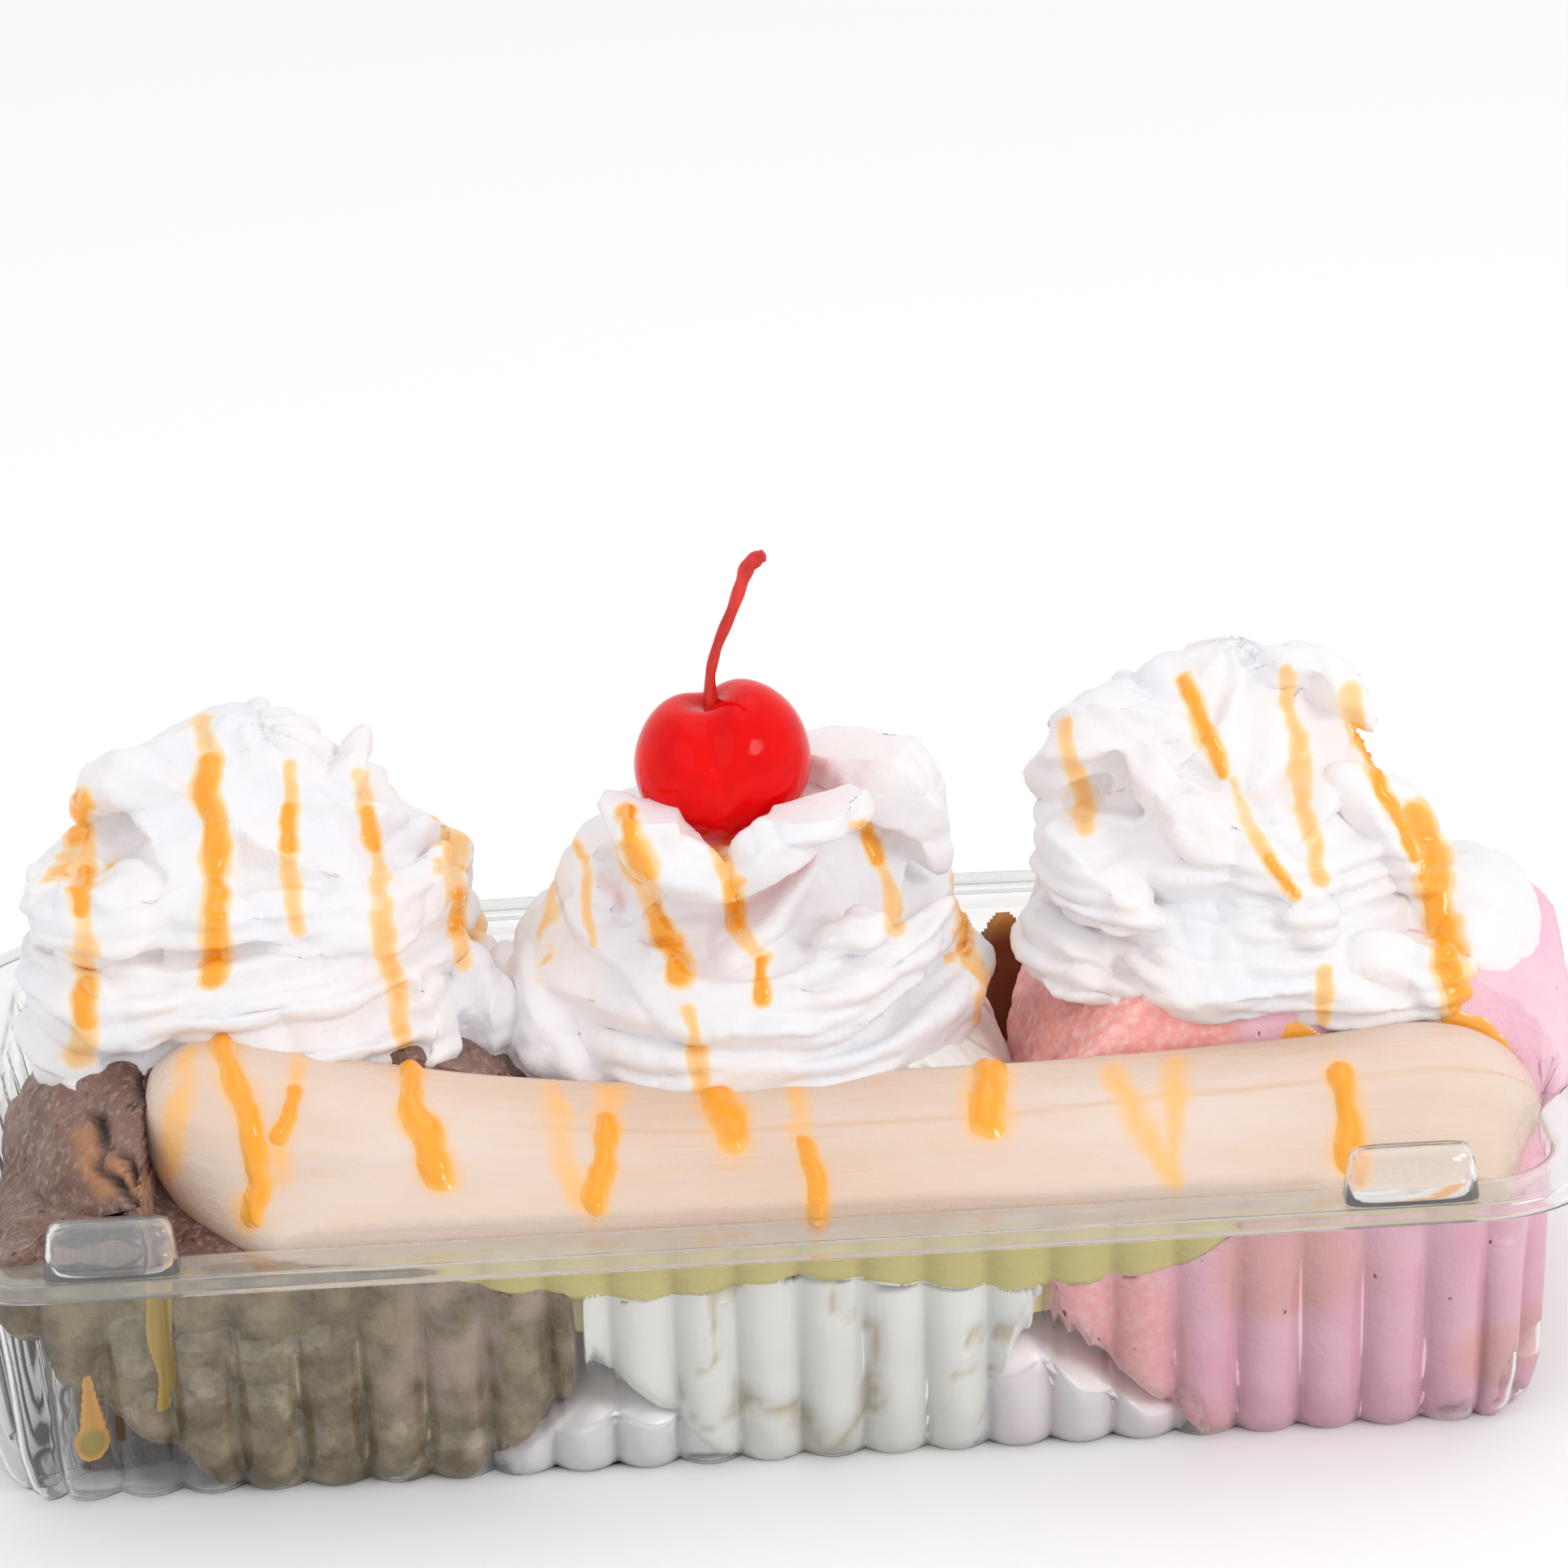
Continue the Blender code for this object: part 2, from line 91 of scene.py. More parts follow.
# Whipped cream: plan centre and foot radius of each swirl
CREAM_PLACES = {
    "cream_left": ((-60.0, 2.0), 31.0),
    "cream_middle": ((1.0, 1.0), 31.5),
    "cream_right": ((62.0, 4.0), 27.0),
}


# ------------------------------------------------------------------------------- colour and noise


def linear(code):
    """Linear red, green and blue of an sRGB hex code."""
    srgb = np.array([int(code[i:i + 2], 16) for i in (0, 2, 4)]) / 255.0
    return tuple(np.where(srgb <= 0.04045, srgb / 12.92, ((srgb + 0.055) / 1.055) ** 2.4).tolist())


def step(low, high, value):
    """A smooth rise from 0 at low to 1 at high: 3t^2 - 2t^3."""
    t = np.clip((value - low) / (high - low), 0.0, 1.0)
    return t * t * (3.0 - 2.0 * t)


def noise(points, size, seed=0):
    """Value noise from -1 to 1: whole cells of this size draw a value, smoothly mixed between."""
    q = points / size
    cell = np.floor(q).astype(np.int64)
    f = q - cell
    f = f * f * (3.0 - 2.0 * f)
    total = 0.0
    for corner in range(8):
        offset = np.array((corner & 1, corner >> 1 & 1, corner >> 2 & 1))
        key = (cell + offset) * np.array((73856093, 19349663, 83492791))
        mixed = key[..., 0] ^ key[..., 1] ^ key[..., 2] ^ (seed * 2654435 + 97)
        mixed = (mixed ^ (mixed >> 13)) * 1274126177
        drawn = ((mixed ^ (mixed >> 16)) & 0xFFFF) / 32767.5 - 1.0
        weight = np.prod(np.where(offset == 1, f, 1.0 - f), axis=-1)
        total = total + drawn * weight
    return total


def fractal(points, size, octaves, seed=0):
    """Noise plus the same at half the size and half the strength, again and again."""
    return sum(noise(points, size / 2 ** k, seed + 7 * k) / 2 ** k for k in range(octaves))


def bell(value, width):
    """A bell curve, exp(-(value / width)^2)."""
    return np.exp(-((value / width) ** 2))


# --------------------------------------------------------------------------------- mesh and pieces


def grid_faces(rows, columns, closed=True, flip=False):
    """Four-cornered faces of a grid whose columns run round, or stop at the last one."""
    i = np.arange(rows - 1)[:, None] * columns
    j = np.arange(columns if closed else columns - 1)[None, :]
    k = (j + 1) % columns
    faces = np.stack((i + j, i + k, i + columns + k, i + columns + j), axis=-1).reshape(-1, 4)
    return faces[:, ::-1] if flip else faces


def cap_faces(pole, first, columns, flip=False):
    """Triangles that close a ring of points with one point at its middle."""
    j = np.arange(columns)
    faces = np.stack((np.full(columns, pole), first + (j + 1) % columns, first + j), axis=-1)
    return faces[:, ::-1] if flip else faces


def ball_faces(rows, columns):
    """Faces of a closed grid with a pole before its first row and one after its last."""
    body = grid_faces(rows, columns) + 1
    return [cap_faces(0, 1, columns), body[:, ::-1],
            cap_faces(1 + rows * columns, 1 + (rows - 1) * columns, columns, flip=True)]


def placed(points):
    """Points in millimetres in the tray's plan, turned to metres in the model's frame."""
    return (np.asarray(points) - (0.0, REAR_BOW / 2, 0.0)) * MM


def mesh_from(name, points, faces):
    """A smooth-shaded mesh from an array of points in millimetres and arrays of faces."""
    mesh = bpy.data.meshes.new(name)
    listed = [face for block in faces for face in np.asarray(block).tolist()]
    mesh.from_pydata(placed(points).tolist(), [], listed)
    mesh.shade_smooth()
    return mesh


def show(name, mesh, finish, replaces=()):
    """Puts a mesh in the scene as a piece of the object, riding on its one body."""
    obj = bpy.data.objects.new(name, mesh)
    bpy.context.scene.collection.objects.link(obj)
    obj.data.materials.clear()
    obj.data.materials.append(finish)
    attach(obj, BODY)
    if replaces:
        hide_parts(*replaces)
    return obj


def evaluated(obj):
    """The object's mesh with its modifiers applied. The object itself is removed."""
    bpy.context.view_layer.update()
    result = bpy.data.meshes.new_from_object(obj.evaluated_get(bpy.context.evaluated_depsgraph_get()))
    bpy.data.objects.remove(obj, do_unlink=True)
    return result


def temporary(mesh):
    obj = bpy.data.objects.new("working", mesh)
    bpy.context.scene.collection.objects.link(obj)
    return obj


def mesh_points(mesh):
    """The mesh's points in millimetres in the tray's plan, and their normals."""
    points = np.empty(len(mesh.vertices) * 3)
    mesh.vertices.foreach_get("co", points)
    normals = np.empty(len(mesh.vertices) * 3)
    mesh.vertex_normals.foreach_get("vector", normals)
    return points.reshape(-1, 3) / MM + (0.0, REAR_BOW / 2, 0.0), normals.reshape(-1, 3)


def move_points(mesh, points):
    mesh.vertices.foreach_set("co", placed(points).ravel())
    mesh.update()


def set_attribute(mesh, name, values):
    attribute = mesh.attributes.new(name, "FLOAT", "POINT")
    attribute.data.foreach_set("value", np.asarray(values, dtype=np.float32))


def mesh_quads(mesh):
    """The mesh's triangles as an array of corner numbers."""
    mesh.calc_loop_triangles()
    corners = np.empty(len(mesh.loop_triangles) * 3, dtype=np.int32)
    mesh.loop_triangles.foreach_get("vertices", corners)
    return corners.reshape(-1, 3)


# -------------------------------------------------------------------------------------- materials


def add(tree, kind, settings=None, links=None, ramp=None):
    """One node of this kind, with its settings and the sockets that feed it."""
    made = tree.nodes.new("ShaderNode" + kind)
    for name, value in (settings or {}).items():
        if name in made.inputs:
            made.inputs[name].default_value = value
        else:
            setattr(made, name, value)
    for name, socket in (links or {}).items():
        tree.links.new(socket, made.inputs[name])
    if ramp:
        elements = made.color_ramp.elements
        while len(elements) < len(ramp):
            elements.new(0.5)
        for element, (place, code) in zip(elements, ramp):
            element.position = place
            element.color = (*linear(code), 1.0)
    return made


def new_material(name):
    """A material with one Principled shader: (material, its node tree, the shader)."""
    made = bpy.data.materials.new(name)
    made.use_nodes = True
    tree = made.node_tree
    return made, tree, tree.nodes["Principled BSDF"]


def pattern(tree, size_mm, detail=3.0, stretch=(1.0, 1.0, 1.0), rough=0.55):
    """Noise whose blotches are about this many millimetres across, on Object coordinates."""
    place = add(tree, "TexCoord")
    scaled = add(tree, "Mapping", {"Scale": stretch}, {"Vector": place.outputs["Object"]})
    settings = {"Scale": 1.0 / (size_mm * MM), "Detail": detail, "Roughness": rough}
    return add(tree, "TexNoise", settings, {"Vector": scaled.outputs["Vector"]}).outputs["Fac"]


def mix(tree, factor, first, second, blend="MIX"):
    """Two colours mixed by a factor socket or number. Each colour is a socket or a linear RGB."""
    made = add(tree, "Mix", {"data_type": "RGBA", "blend_type": blend})
    for index, value in ((0, factor), (6, first), (7, second)):
        if isinstance(value, bpy.types.NodeSocket):
            tree.links.new(value, made.inputs[index])
        elif index == 0:
            made.inputs[index].default_value = value
        else:
            made.inputs[index].default_value = (*value, 1.0)
    return made.outputs[2]


def spread(tree, socket, low, high, out_low=0.0, out_high=1.0):
    """A value's range from low to high, stretched to another range and clamped."""
    settings = {"From Min": low, "From Max": high, "To Min": out_low, "To Max": out_high}
    return add(tree, "MapRange", settings, {"Value": socket}).outputs["Result"]


def bump(tree, shader, socket, depth_mm, after=None):
    """Relief of this many millimetres on the shader's normal."""
    links = {"Height": socket}
    if after:
        links["Normal"] = after
    made = add(tree, "Bump", {"Distance": depth_mm * MM, "Strength": 1.0}, links)
    tree.links.new(made.outputs["Normal"], shader.inputs["Normal"])
    return made.outputs["Normal"]


def attribute(tree, name):
    return add(tree, "Attribute", {"attribute_name": name}).outputs["Fac"]


def colour_of(shader, tree, socket):
    tree.links.new(socket, shader.inputs["Base Color"])


def clear_pet():
    """Clear PET, vacuum formed: a glossy thin sheet, a touch green where it is seen edge on."""
    made, tree, shader = new_material("pet_sheet_vacuum_formed")
    shader.inputs["Base Color"].default_value = (*linear("fcfdfc"), 1.0)
    shader.inputs["Transmission Weight"].default_value = 1.0
    shader.inputs["IOR"].default_value = 1.575
    wear = pattern(tree, 30.0, 2.0)
    tree.links.new(spread(tree, wear, 0.35, 0.7, 0.02, 0.07), shader.inputs["Roughness"])
    # Forming leaves the sheet faintly wavy, over lengths of about 6 mm.
    bump(tree, shader, pattern(tree, 6.0, 1.0), 0.05)
    return made


def hazed_pet():
    """The same sheet where the rim was drawn thin and folded: hazed white by the stretching."""
    made, tree, shader = new_material("pet_rim_stress_hazed")
    haze = spread(tree, pattern(tree, 25.0, 2.0), 0.3, 0.7)
    colour_of(shader, tree, mix(tree, haze, linear("fbfbf9"), linear("fefefe")))
    shader.inputs["Transmission Weight"].default_value = 0.95
    shader.inputs["IOR"].default_value = 1.575
    shader.inputs["Roughness"].default_value = 0.06
    bump(tree, shader, pattern(tree, 8.0, 1.0), 0.05)
    return made


def whipped_cream():
    """Dairy cream, piped: matt white, with fine air bubbles."""
    made, tree, shader = new_material("whipped_cream_piped")
    settings = bpy.context.scene.split_cream
    shade = mix(tree, spread(tree, pattern(tree, 14.0, 2.0), 0.35, 0.65), tuple(settings.cool),
                tuple(settings.warm))
    stain = add(tree, "ValToRGB", {}, {"Fac": attribute(tree, "stain")},
                ramp=((0.0, "fdf1e2"), (0.3, "fcdaac"), (0.6, "fccb88"), (1.0, "fcb652")))
    cover = spread(tree, attribute(tree, "stain"), 0.0, 0.3)
    colour_of(shader, tree, mix(tree, cover, shade, stain.outputs["Color"]))
    matt = spread(tree, pattern(tree, 3.0), 0.3, 0.7, 0.38, 0.6)
    links = {"Value": attribute(tree, "stain"), "To Min": matt}
    gloss = add(tree, "MapRange", {"To Max": 0.18}, links)
    tree.links.new(gloss.outputs["Result"], shader.inputs["Roughness"])
    # Bubbles are about 0.1 mm across: drawn at 0.5 mm, so that they show.
    fine = bump(tree, shader, pattern(tree, 0.5, 2.0), 0.05)
    bump(tree, shader, pattern(tree, 3.5, 3.0), 0.28, fine)
    return made


def chocolate_ice_cream():
    """Chocolate ice cream, scooped while hard: torn and grainy, paler where frost settles."""
    made, tree, shader = new_material("chocolate_ice_cream_scooped")
    body = spread(tree, pattern(tree, 9.0, 4.0), 0.3, 0.7)
    shade = mix(tree, body, linear("6b4a40"), linear("8a6a5e"))
    grain = spread(tree, pattern(tree, 1.1, 3.0), 0.52, 0.72)
    shade = mix(tree, grain, shade, linear("a58a82"))
    # Painted shade: small dark spots where the pits in the grain would lie in shade.
    pit_shade = spread(tree, pattern(tree, 1.6, 2.0), 0.36, 0.28)
    shade = mix(tree, pit_shade, shade, linear("3b211d"))
    shade = mix(tree, attribute(tree, "soaked"), shade, linear("c08450"))
    # Painted shade: the cracks are darkened as if shade fell in them.
    shade = mix(tree, spread(tree, attribute(tree, "crack"), 0.15, 0.9), shade, linear("2c1917"))
    # Where it is pressed flat on the wall it is smeared: olive grey, with paler frosty patches. Part of that paleness
    # is painted light: the sheet's pale sheen over it, painted into the colour.
    smear_and_sheen = mix(tree, spread(tree, pattern(tree, 5.0, 4.0), 0.38, 0.62), linear("73643f"), linear("b3a484"))
    frost = spread(tree, pattern(tree, 13.0, 2.0), 0.56, 0.68, 0.0, 0.7)
    smear_and_sheen = mix(tree, frost, smear_and_sheen, linear("d2bdb4"))
    shade = mix(tree, attribute(tree, "wet"), shade, smear_and_sheen)
    colour_of(shader, tree, shade)
    tree.links.new(spread(tree, pattern(tree, 2.5), 0.35, 0.65, 0.3, 0.62), shader.inputs["Roughness"])
    fine = bump(tree, shader, pattern(tree, 0.8, 3.0), 0.22)
    bump(tree, shader, pattern(tree, 3.0, 3.0), 0.5, fine)
    return made


def vanilla_ice_cream():
    """Vanilla ice cream, softened: smooth and milky, with painted shade, a dull beige, in its cracks."""
    made, tree, shader = new_material("vanilla_ice_cream_softened")
    body = spread(tree, pattern(tree, 18.0, 2.0), 0.35, 0.65)
    shade = mix(tree, body, linear("fbfbf8"), linear("f6f4f0"))
    # Painted shade in the cracks, a dull beige.
    shade = mix(tree, spread(tree, attribute(tree, "crack"), 0.1, 1.0), shade, linear("c6b79e"))
    shade = mix(tree, attribute(tree, "stain"), shade, linear("c8a98f"))
    colour_of(shader, tree, shade)
    shader.inputs["Roughness"].default_value = 0.35
    bump(tree, shader, pattern(tree, 5.0, 2.0), 0.3)
    return made


def strawberry_ice_cream():
    """Strawberry ice cream: salmon and grainy where torn, mauve-pink and smooth where it melts."""
    made, tree, shader = new_material("strawberry_ice_cream_scooped")
    body = spread(tree, pattern(tree, 12.0, 3.0), 0.3, 0.7)
    smooth = mix(tree, body, linear("f9cedb"), linear("f3bdd1"))
    torn = mix(tree, spread(tree, pattern(tree, 1.2, 3.0), 0.4, 0.66), linear("f9a8a0"), linear("fecbc7"))
    shade = mix(tree, attribute(tree, "torn"), smooth, torn)
    # Painted shade in the cracks.
    shade = mix(tree, spread(tree, attribute(tree, "crack"), 0.1, 1.0), shade, linear("b46c76"))
    shade = mix(tree, attribute(tree, "stain"), shade, linear("eab3a8"))
    seeds = spread(tree, pattern(tree, 1.4, 0.0), 0.165, 0.13)
    shade = mix(tree, seeds, shade, linear("8c3443"))
    colour_of(shader, tree, shade)
    tree.links.new(spread(tree, attribute(tree, "torn"), 0.0, 1.0, 0.3, 0.6), shader.inputs["Roughness"])
    fine = bump(tree, shader, pattern(tree, 0.9, 3.0), 0.16)
    bump(tree, shader, pattern(tree, 6.0, 2.0), 0.35, fine)
    return made


def banana_flesh():
    """Banana, peeled: moist peach-white flesh with long fibres. Low on its front, below the rim, it turns
    olive-yellow: flesh pressed wet on the wall, and painted shade where the flange shadows it.
    """
    made, tree, shader = new_material("banana_flesh_peeled")
    settings = bpy.context.scene.split_banana
    body = spread(tree, pattern(tree, 22.0, 3.0, (0.35, 1.0, 1.0)), 0.35, 0.65)
    shade = mix(tree, body, tuple(settings.flesh), tuple(settings.tan))
    # Fibres are about 0.3 mm thick: drawn at 0.9 mm, so that they show.
    fibre = pattern(tree, 0.9, 3.0, (0.06, 1.0, 1.0))
    shade = mix(tree, spread(tree, fibre, 0.5, 0.7, 0.0, 0.5), shade, linear("e7c9ae"))
    shade = mix(tree, spread(tree, attribute(tree, "crest"), 0.0, 1.0, 0.0, 0.5), shade, linear("d9ae86"))
    # Partly painted shade: the olive-yellow low on the front stands for the flange's shadow as well as the wet flesh.
    shade = mix(tree, attribute(tree, "under"), shade, tuple(settings.underside_and_flange_shade))
    shade = mix(tree, spread(tree, attribute(tree, "stain"), 0.0, 0.75, 0.0, 0.95), shade, linear("fcbf70"))
    colour_of(shader, tree, shade)
    tree.links.new(spread(tree, pattern(tree, 2.5), 0.35, 0.65, 0.16, 0.45), shader.inputs["Roughness"])
    first = bump(tree, shader, fibre, 0.12)
    bump(tree, shader, pattern(tree, 5.0, 2.0, (0.3, 1.0, 1.0)), 0.3, first)
    return made


def caramel_sauce():
    """Caramel sauce, cooked sugar and cream: glossy, pale gold where thin, deep orange where thick."""
    made, tree, shader = new_material("caramel_sauce_poured")
    depth = add(tree, "ValToRGB", {}, {"Fac": attribute(tree, "depth")},
                ramp=((0.0, "fcbd62"), (0.3, "fcb857"), (0.6, "fdb140"), (1.0, "fda522")))
    dark = mix(tree, attribute(tree, "dark"), depth.outputs["Color"], linear("6a2c05"))
    dark = mix(tree, attribute(tree, "olive"), dark, linear("a3953c"))
    colour_of(shader, tree, dark)
    shader.inputs["Roughness"].default_value = 0.12
    shader.inputs["IOR"].default_value = 1.48
    shader.inputs["Coat Weight"].default_value = 0.3
    bump(tree, shader, pattern(tree, 3.0, 1.0), 0.12)
    return made


def cherry_skin():
    """Maraschino cherry, dyed and syruped: saturated red, wet and smooth, faintly wrinkled."""
    made, tree, shader = new_material("maraschino_cherry_skin")
    shade = mix(tree, spread(tree, pattern(tree, 5.0, 2.0), 0.35, 0.65), linear("ea0102"), linear("dd0004"))
    # Painted shade: darker in the dimple round the stalk.
    shade = mix(tree, spread(tree, attribute(tree, "dimple"), 0.2, 1.0), shade, linear("c4040f"))
    colour_of(shader, tree, shade)
    shader.inputs["Roughness"].default_value = 0.1
    shader.inputs["IOR"].default_value = 1.4
    shader.inputs["Specular IOR Level"].default_value = 0.2
    bump(tree, shader, pattern(tree, 1.2, 2.0, (1.0, 1.0, 0.3)), 0.05)
    return made


def cherry_stalk():
    """Cherry stalk, dyed with the fruit: thin and waxy, in long blotches of red and darker red."""
    made, tree, shader = new_material("cherry_stalk_dyed")
    shade = mix(tree, spread(tree, pattern(tree, 1.5, 2.0, (1.0, 1.0, 0.3)), 0.35, 0.65),
                linear("e2342a"), linear("c21a0c"))
    colour_of(shader, tree, shade)
    shader.inputs["Roughness"].default_value = 0.35
    bump(tree, shader, pattern(tree, 0.6, 2.0, (1.0, 1.0, 0.2)), 0.06)
    return made


def melted_ice_cream():
    """Melted ice cream at the tray's base: thin and milky, pink towards the strawberry side."""
    made, tree, shader = new_material("melted_ice_cream_settled")
    place = add(tree, "TexCoord")
    parts = add(tree, "SeparateXYZ", {}, {"Vector": place.outputs["Object"]})
    pink = spread(tree, parts.outputs["X"], -0.01, 0.045)
    shade = mix(tree, pink, linear("fbf7f9"), linear("fbebf0"))
    shade = mix(tree, spread(tree, pattern(tree, 7.0, 2.0), 0.4, 0.65), shade, linear("f4f1f3"))
    colour_of(shader, tree, shade)
    shader.inputs["Roughness"].default_value = 0.25
    bump(tree, shader, pattern(tree, 4.0, 2.0), 0.2)
    return made


def clear_water():
    """Water, condensed: clear droplets."""
    made, tree, shader = new_material("water_condensed")
    shader.inputs["Transmission Weight"].default_value = 1.0
    shader.inputs["IOR"].default_value = 1.333
    shader.inputs["Roughness"].default_value = 0.0
    tree.links.new(spread(tree, pattern(tree, 2.0), 0.3, 0.7, 0.0, 0.02), shader.inputs["Roughness"])
    return made


# ------------------------------------------------------------------------------------------- tray


def outline_run(s):
    """Core point and outward direction at distance s along the wall's plan outline.

    The outline is a rectangle grown by a radius. s starts at the middle of the front and goes
    round by the right. The core point runs along the rectangle and the direction turns at its
    corners, each a straight-line function of s between the corners' ends.
    """
    arc = CORNER * math.pi / 2
    runs = np.cumsum((0.0, HALF_X, arc, 2 * HALF_Y, arc, 2 * HALF_X, arc, 2 * HALF_Y, arc, HALF_X))
    s = np.mod(s, OUTLINE)
    x = np.interp(s, runs, np.array((0, 1, 1, 1, 1, -1, -1, -1, -1, 0)) * HALF_X)
    y = np.interp(s, runs, np.array((-1, -1, -1, 1, 1, 1, 1, -1, -1, -1)) * HALF_Y)
    turn = np.interp(s, runs, np.array((0, 0, 1, 1, 2, 2, 3, 3, 4, 4)) * math.pi / 2)
    return np.stack((x, y), axis=-1), np.stack((np.sin(turn), -np.cos(turn)), axis=-1)


def outline_place(points):
    """The reverse: core point, direction, distance from the core, and s for points in plan."""
    plan = points[..., :2]
    core = np.clip(plan, (-HALF_X, -HALF_Y), (HALF_X, HALF_Y))
    away = plan - core
    radius = np.linalg.norm(away, axis=-1)
    way = away / np.maximum(radius, 1e-9)[..., None]
    turn = np.mod(np.arctan2(way[..., 0], -way[..., 1]) + 1e-9, 2 * math.pi)
    x, y = core[..., 0], core[..., 1]
    quarter = np.round(turn / (math.pi / 2) * 1e6) / 1e6
    front = np.where(x >= 0, x, 4 * (HALF_X + HALF_Y) + x)
    along = np.select(
        [(quarter < 1e-3) | (quarter > 4 - 1e-3), quarter < 1, quarter == 1, quarter < 2,
         quarter == 2, quarter < 3, quarter == 3],
        [front, HALF_X, HALF_X + y + HALF_Y, HALF_X + 2 * HALF_Y, 2 * HALF_X + 2 * HALF_Y - x,
         3 * HALF_X + 2 * HALF_Y, 3 * HALF_X + 3 * HALF_Y - y],
        3 * HALF_X + 4 * HALF_Y)
    straight = (quarter < 1e-3) | (quarter > 4 - 1e-3)
    turned = np.where(straight, np.where(x >= 0, 0.0, 2 * math.pi), turn)
    return core, way, radius, CORNER * turned + along


def flute_hollow(s, share):
    """How far the wall lies inside its crests: a parabola over each flute, rounded at its cusps."""
    pitch = OUTLINE / FLUTES
    across = 2.0 * np.mod(s / pitch + 0.5, 1.0) - 1.0
    edge = np.abs(across)
    rounded = edge ** 2 - 0.35 * np.clip(edge - 0.86, 0, 1) ** 2 / 0.14
    return FLUTE_DEPTH * share * rounded


def wall_radius(s, z):
    """Distance of the wall's outer face from the core rectangle at s and height z."""
    offset = np.interp(z, WALL_HEIGHTS, WALL_OFFSETS)
    share = np.interp(z, WALL_HEIGHTS, WALL_DEPTHS)
    return CORNER + offset - flute_hollow(s, share)


def bowed(points):
    """The rear wall's bow: y grows by the bow's parabola, less near the base and the front."""
    x, y, z = points[..., 0], points[..., 1], points[..., 2]
    reach = np.clip(y / (RIM_WIDTH / 2), 0, None) ** 2
    rise = np.clip(z / (RIM_HEIGHT - SHEET - LIP), 0, 1)
    grown = y + REAR_BOW * reach * (1 - (2 * x / RIM_LENGTH) ** 2) * rise
    return np.stack((x, grown, z), axis=-1)


def pressed(points, into=0.12, recess=0.0):
    """Points kept inside the tray: past the wall's inner face they move back to just inside it, or
    to further in by the recess."""
    sheet = bpy.context.scene.split_tray.sheet / MM
    core, way, radius, s = outline_place(points)
    z = np.maximum(points[..., 2], sheet - into)
    limit = wall_radius(s, z) - sheet + into
    over = step(RIM_HEIGHT - 2.0, RIM_HEIGHT + 3.0, z)
    end = step(HALF_X, HALF_X + 0.7 * CORNER, np.abs(points[..., 0]))
    limit = limit + over * end * (FLANGE - 0.3) - recess
    kept = np.minimum(radius, limit)
    plan = core + way * kept[..., None]
    contact = step(-0.4, 0.1, radius - limit)
    return bowed(np.concatenate((plan, z[..., None]), axis=-1)), contact


def wall_profile():
    """Height, offset and flute share of the sheet's outer face from the lip's edge to the base."""
    under = RIM_HEIGHT - bpy.context.scene.split_tray.sheet / MM
    fold = np.linspace(0, math.pi / 2, 5)
    lip = [(under - LIP, FLANGE - 0.45, 0.0), (under - 0.9, FLANGE - 0.45, 0.0)]
    lip += [(under - 0.5 + 0.5 * math.sin(a), FLANGE - 0.95 + 0.5 * math.cos(a), 0.0) for a in fold]
    flange = [(under, x, 0.0) for x in (4.2, 2.4)]
    throat = [(under - 1.0 + 1.0 * math.cos(a), 1.0 - 1.0 * math.sin(a), 0.0) for a in fold]
    heights = np.concatenate((np.linspace(33.4, 8.0, 24), (6.6, 5.3, 4.0, 2.9, 1.9, 1.1, 0.5, 0.15)))
    wall = [(z, float(np.interp(z, WALL_HEIGHTS, WALL_OFFSETS)),
             float(np.interp(z, WALL_HEIGHTS, WALL_DEPTHS))) for z in heights]
    base = [(0.0, -4.9, 0.7), (0.0, -6.4, 0.55), (0.35, -7.6, 0.35), (0.5, -9.0, 0.1)]
    return lip + flange + throat + wall + base


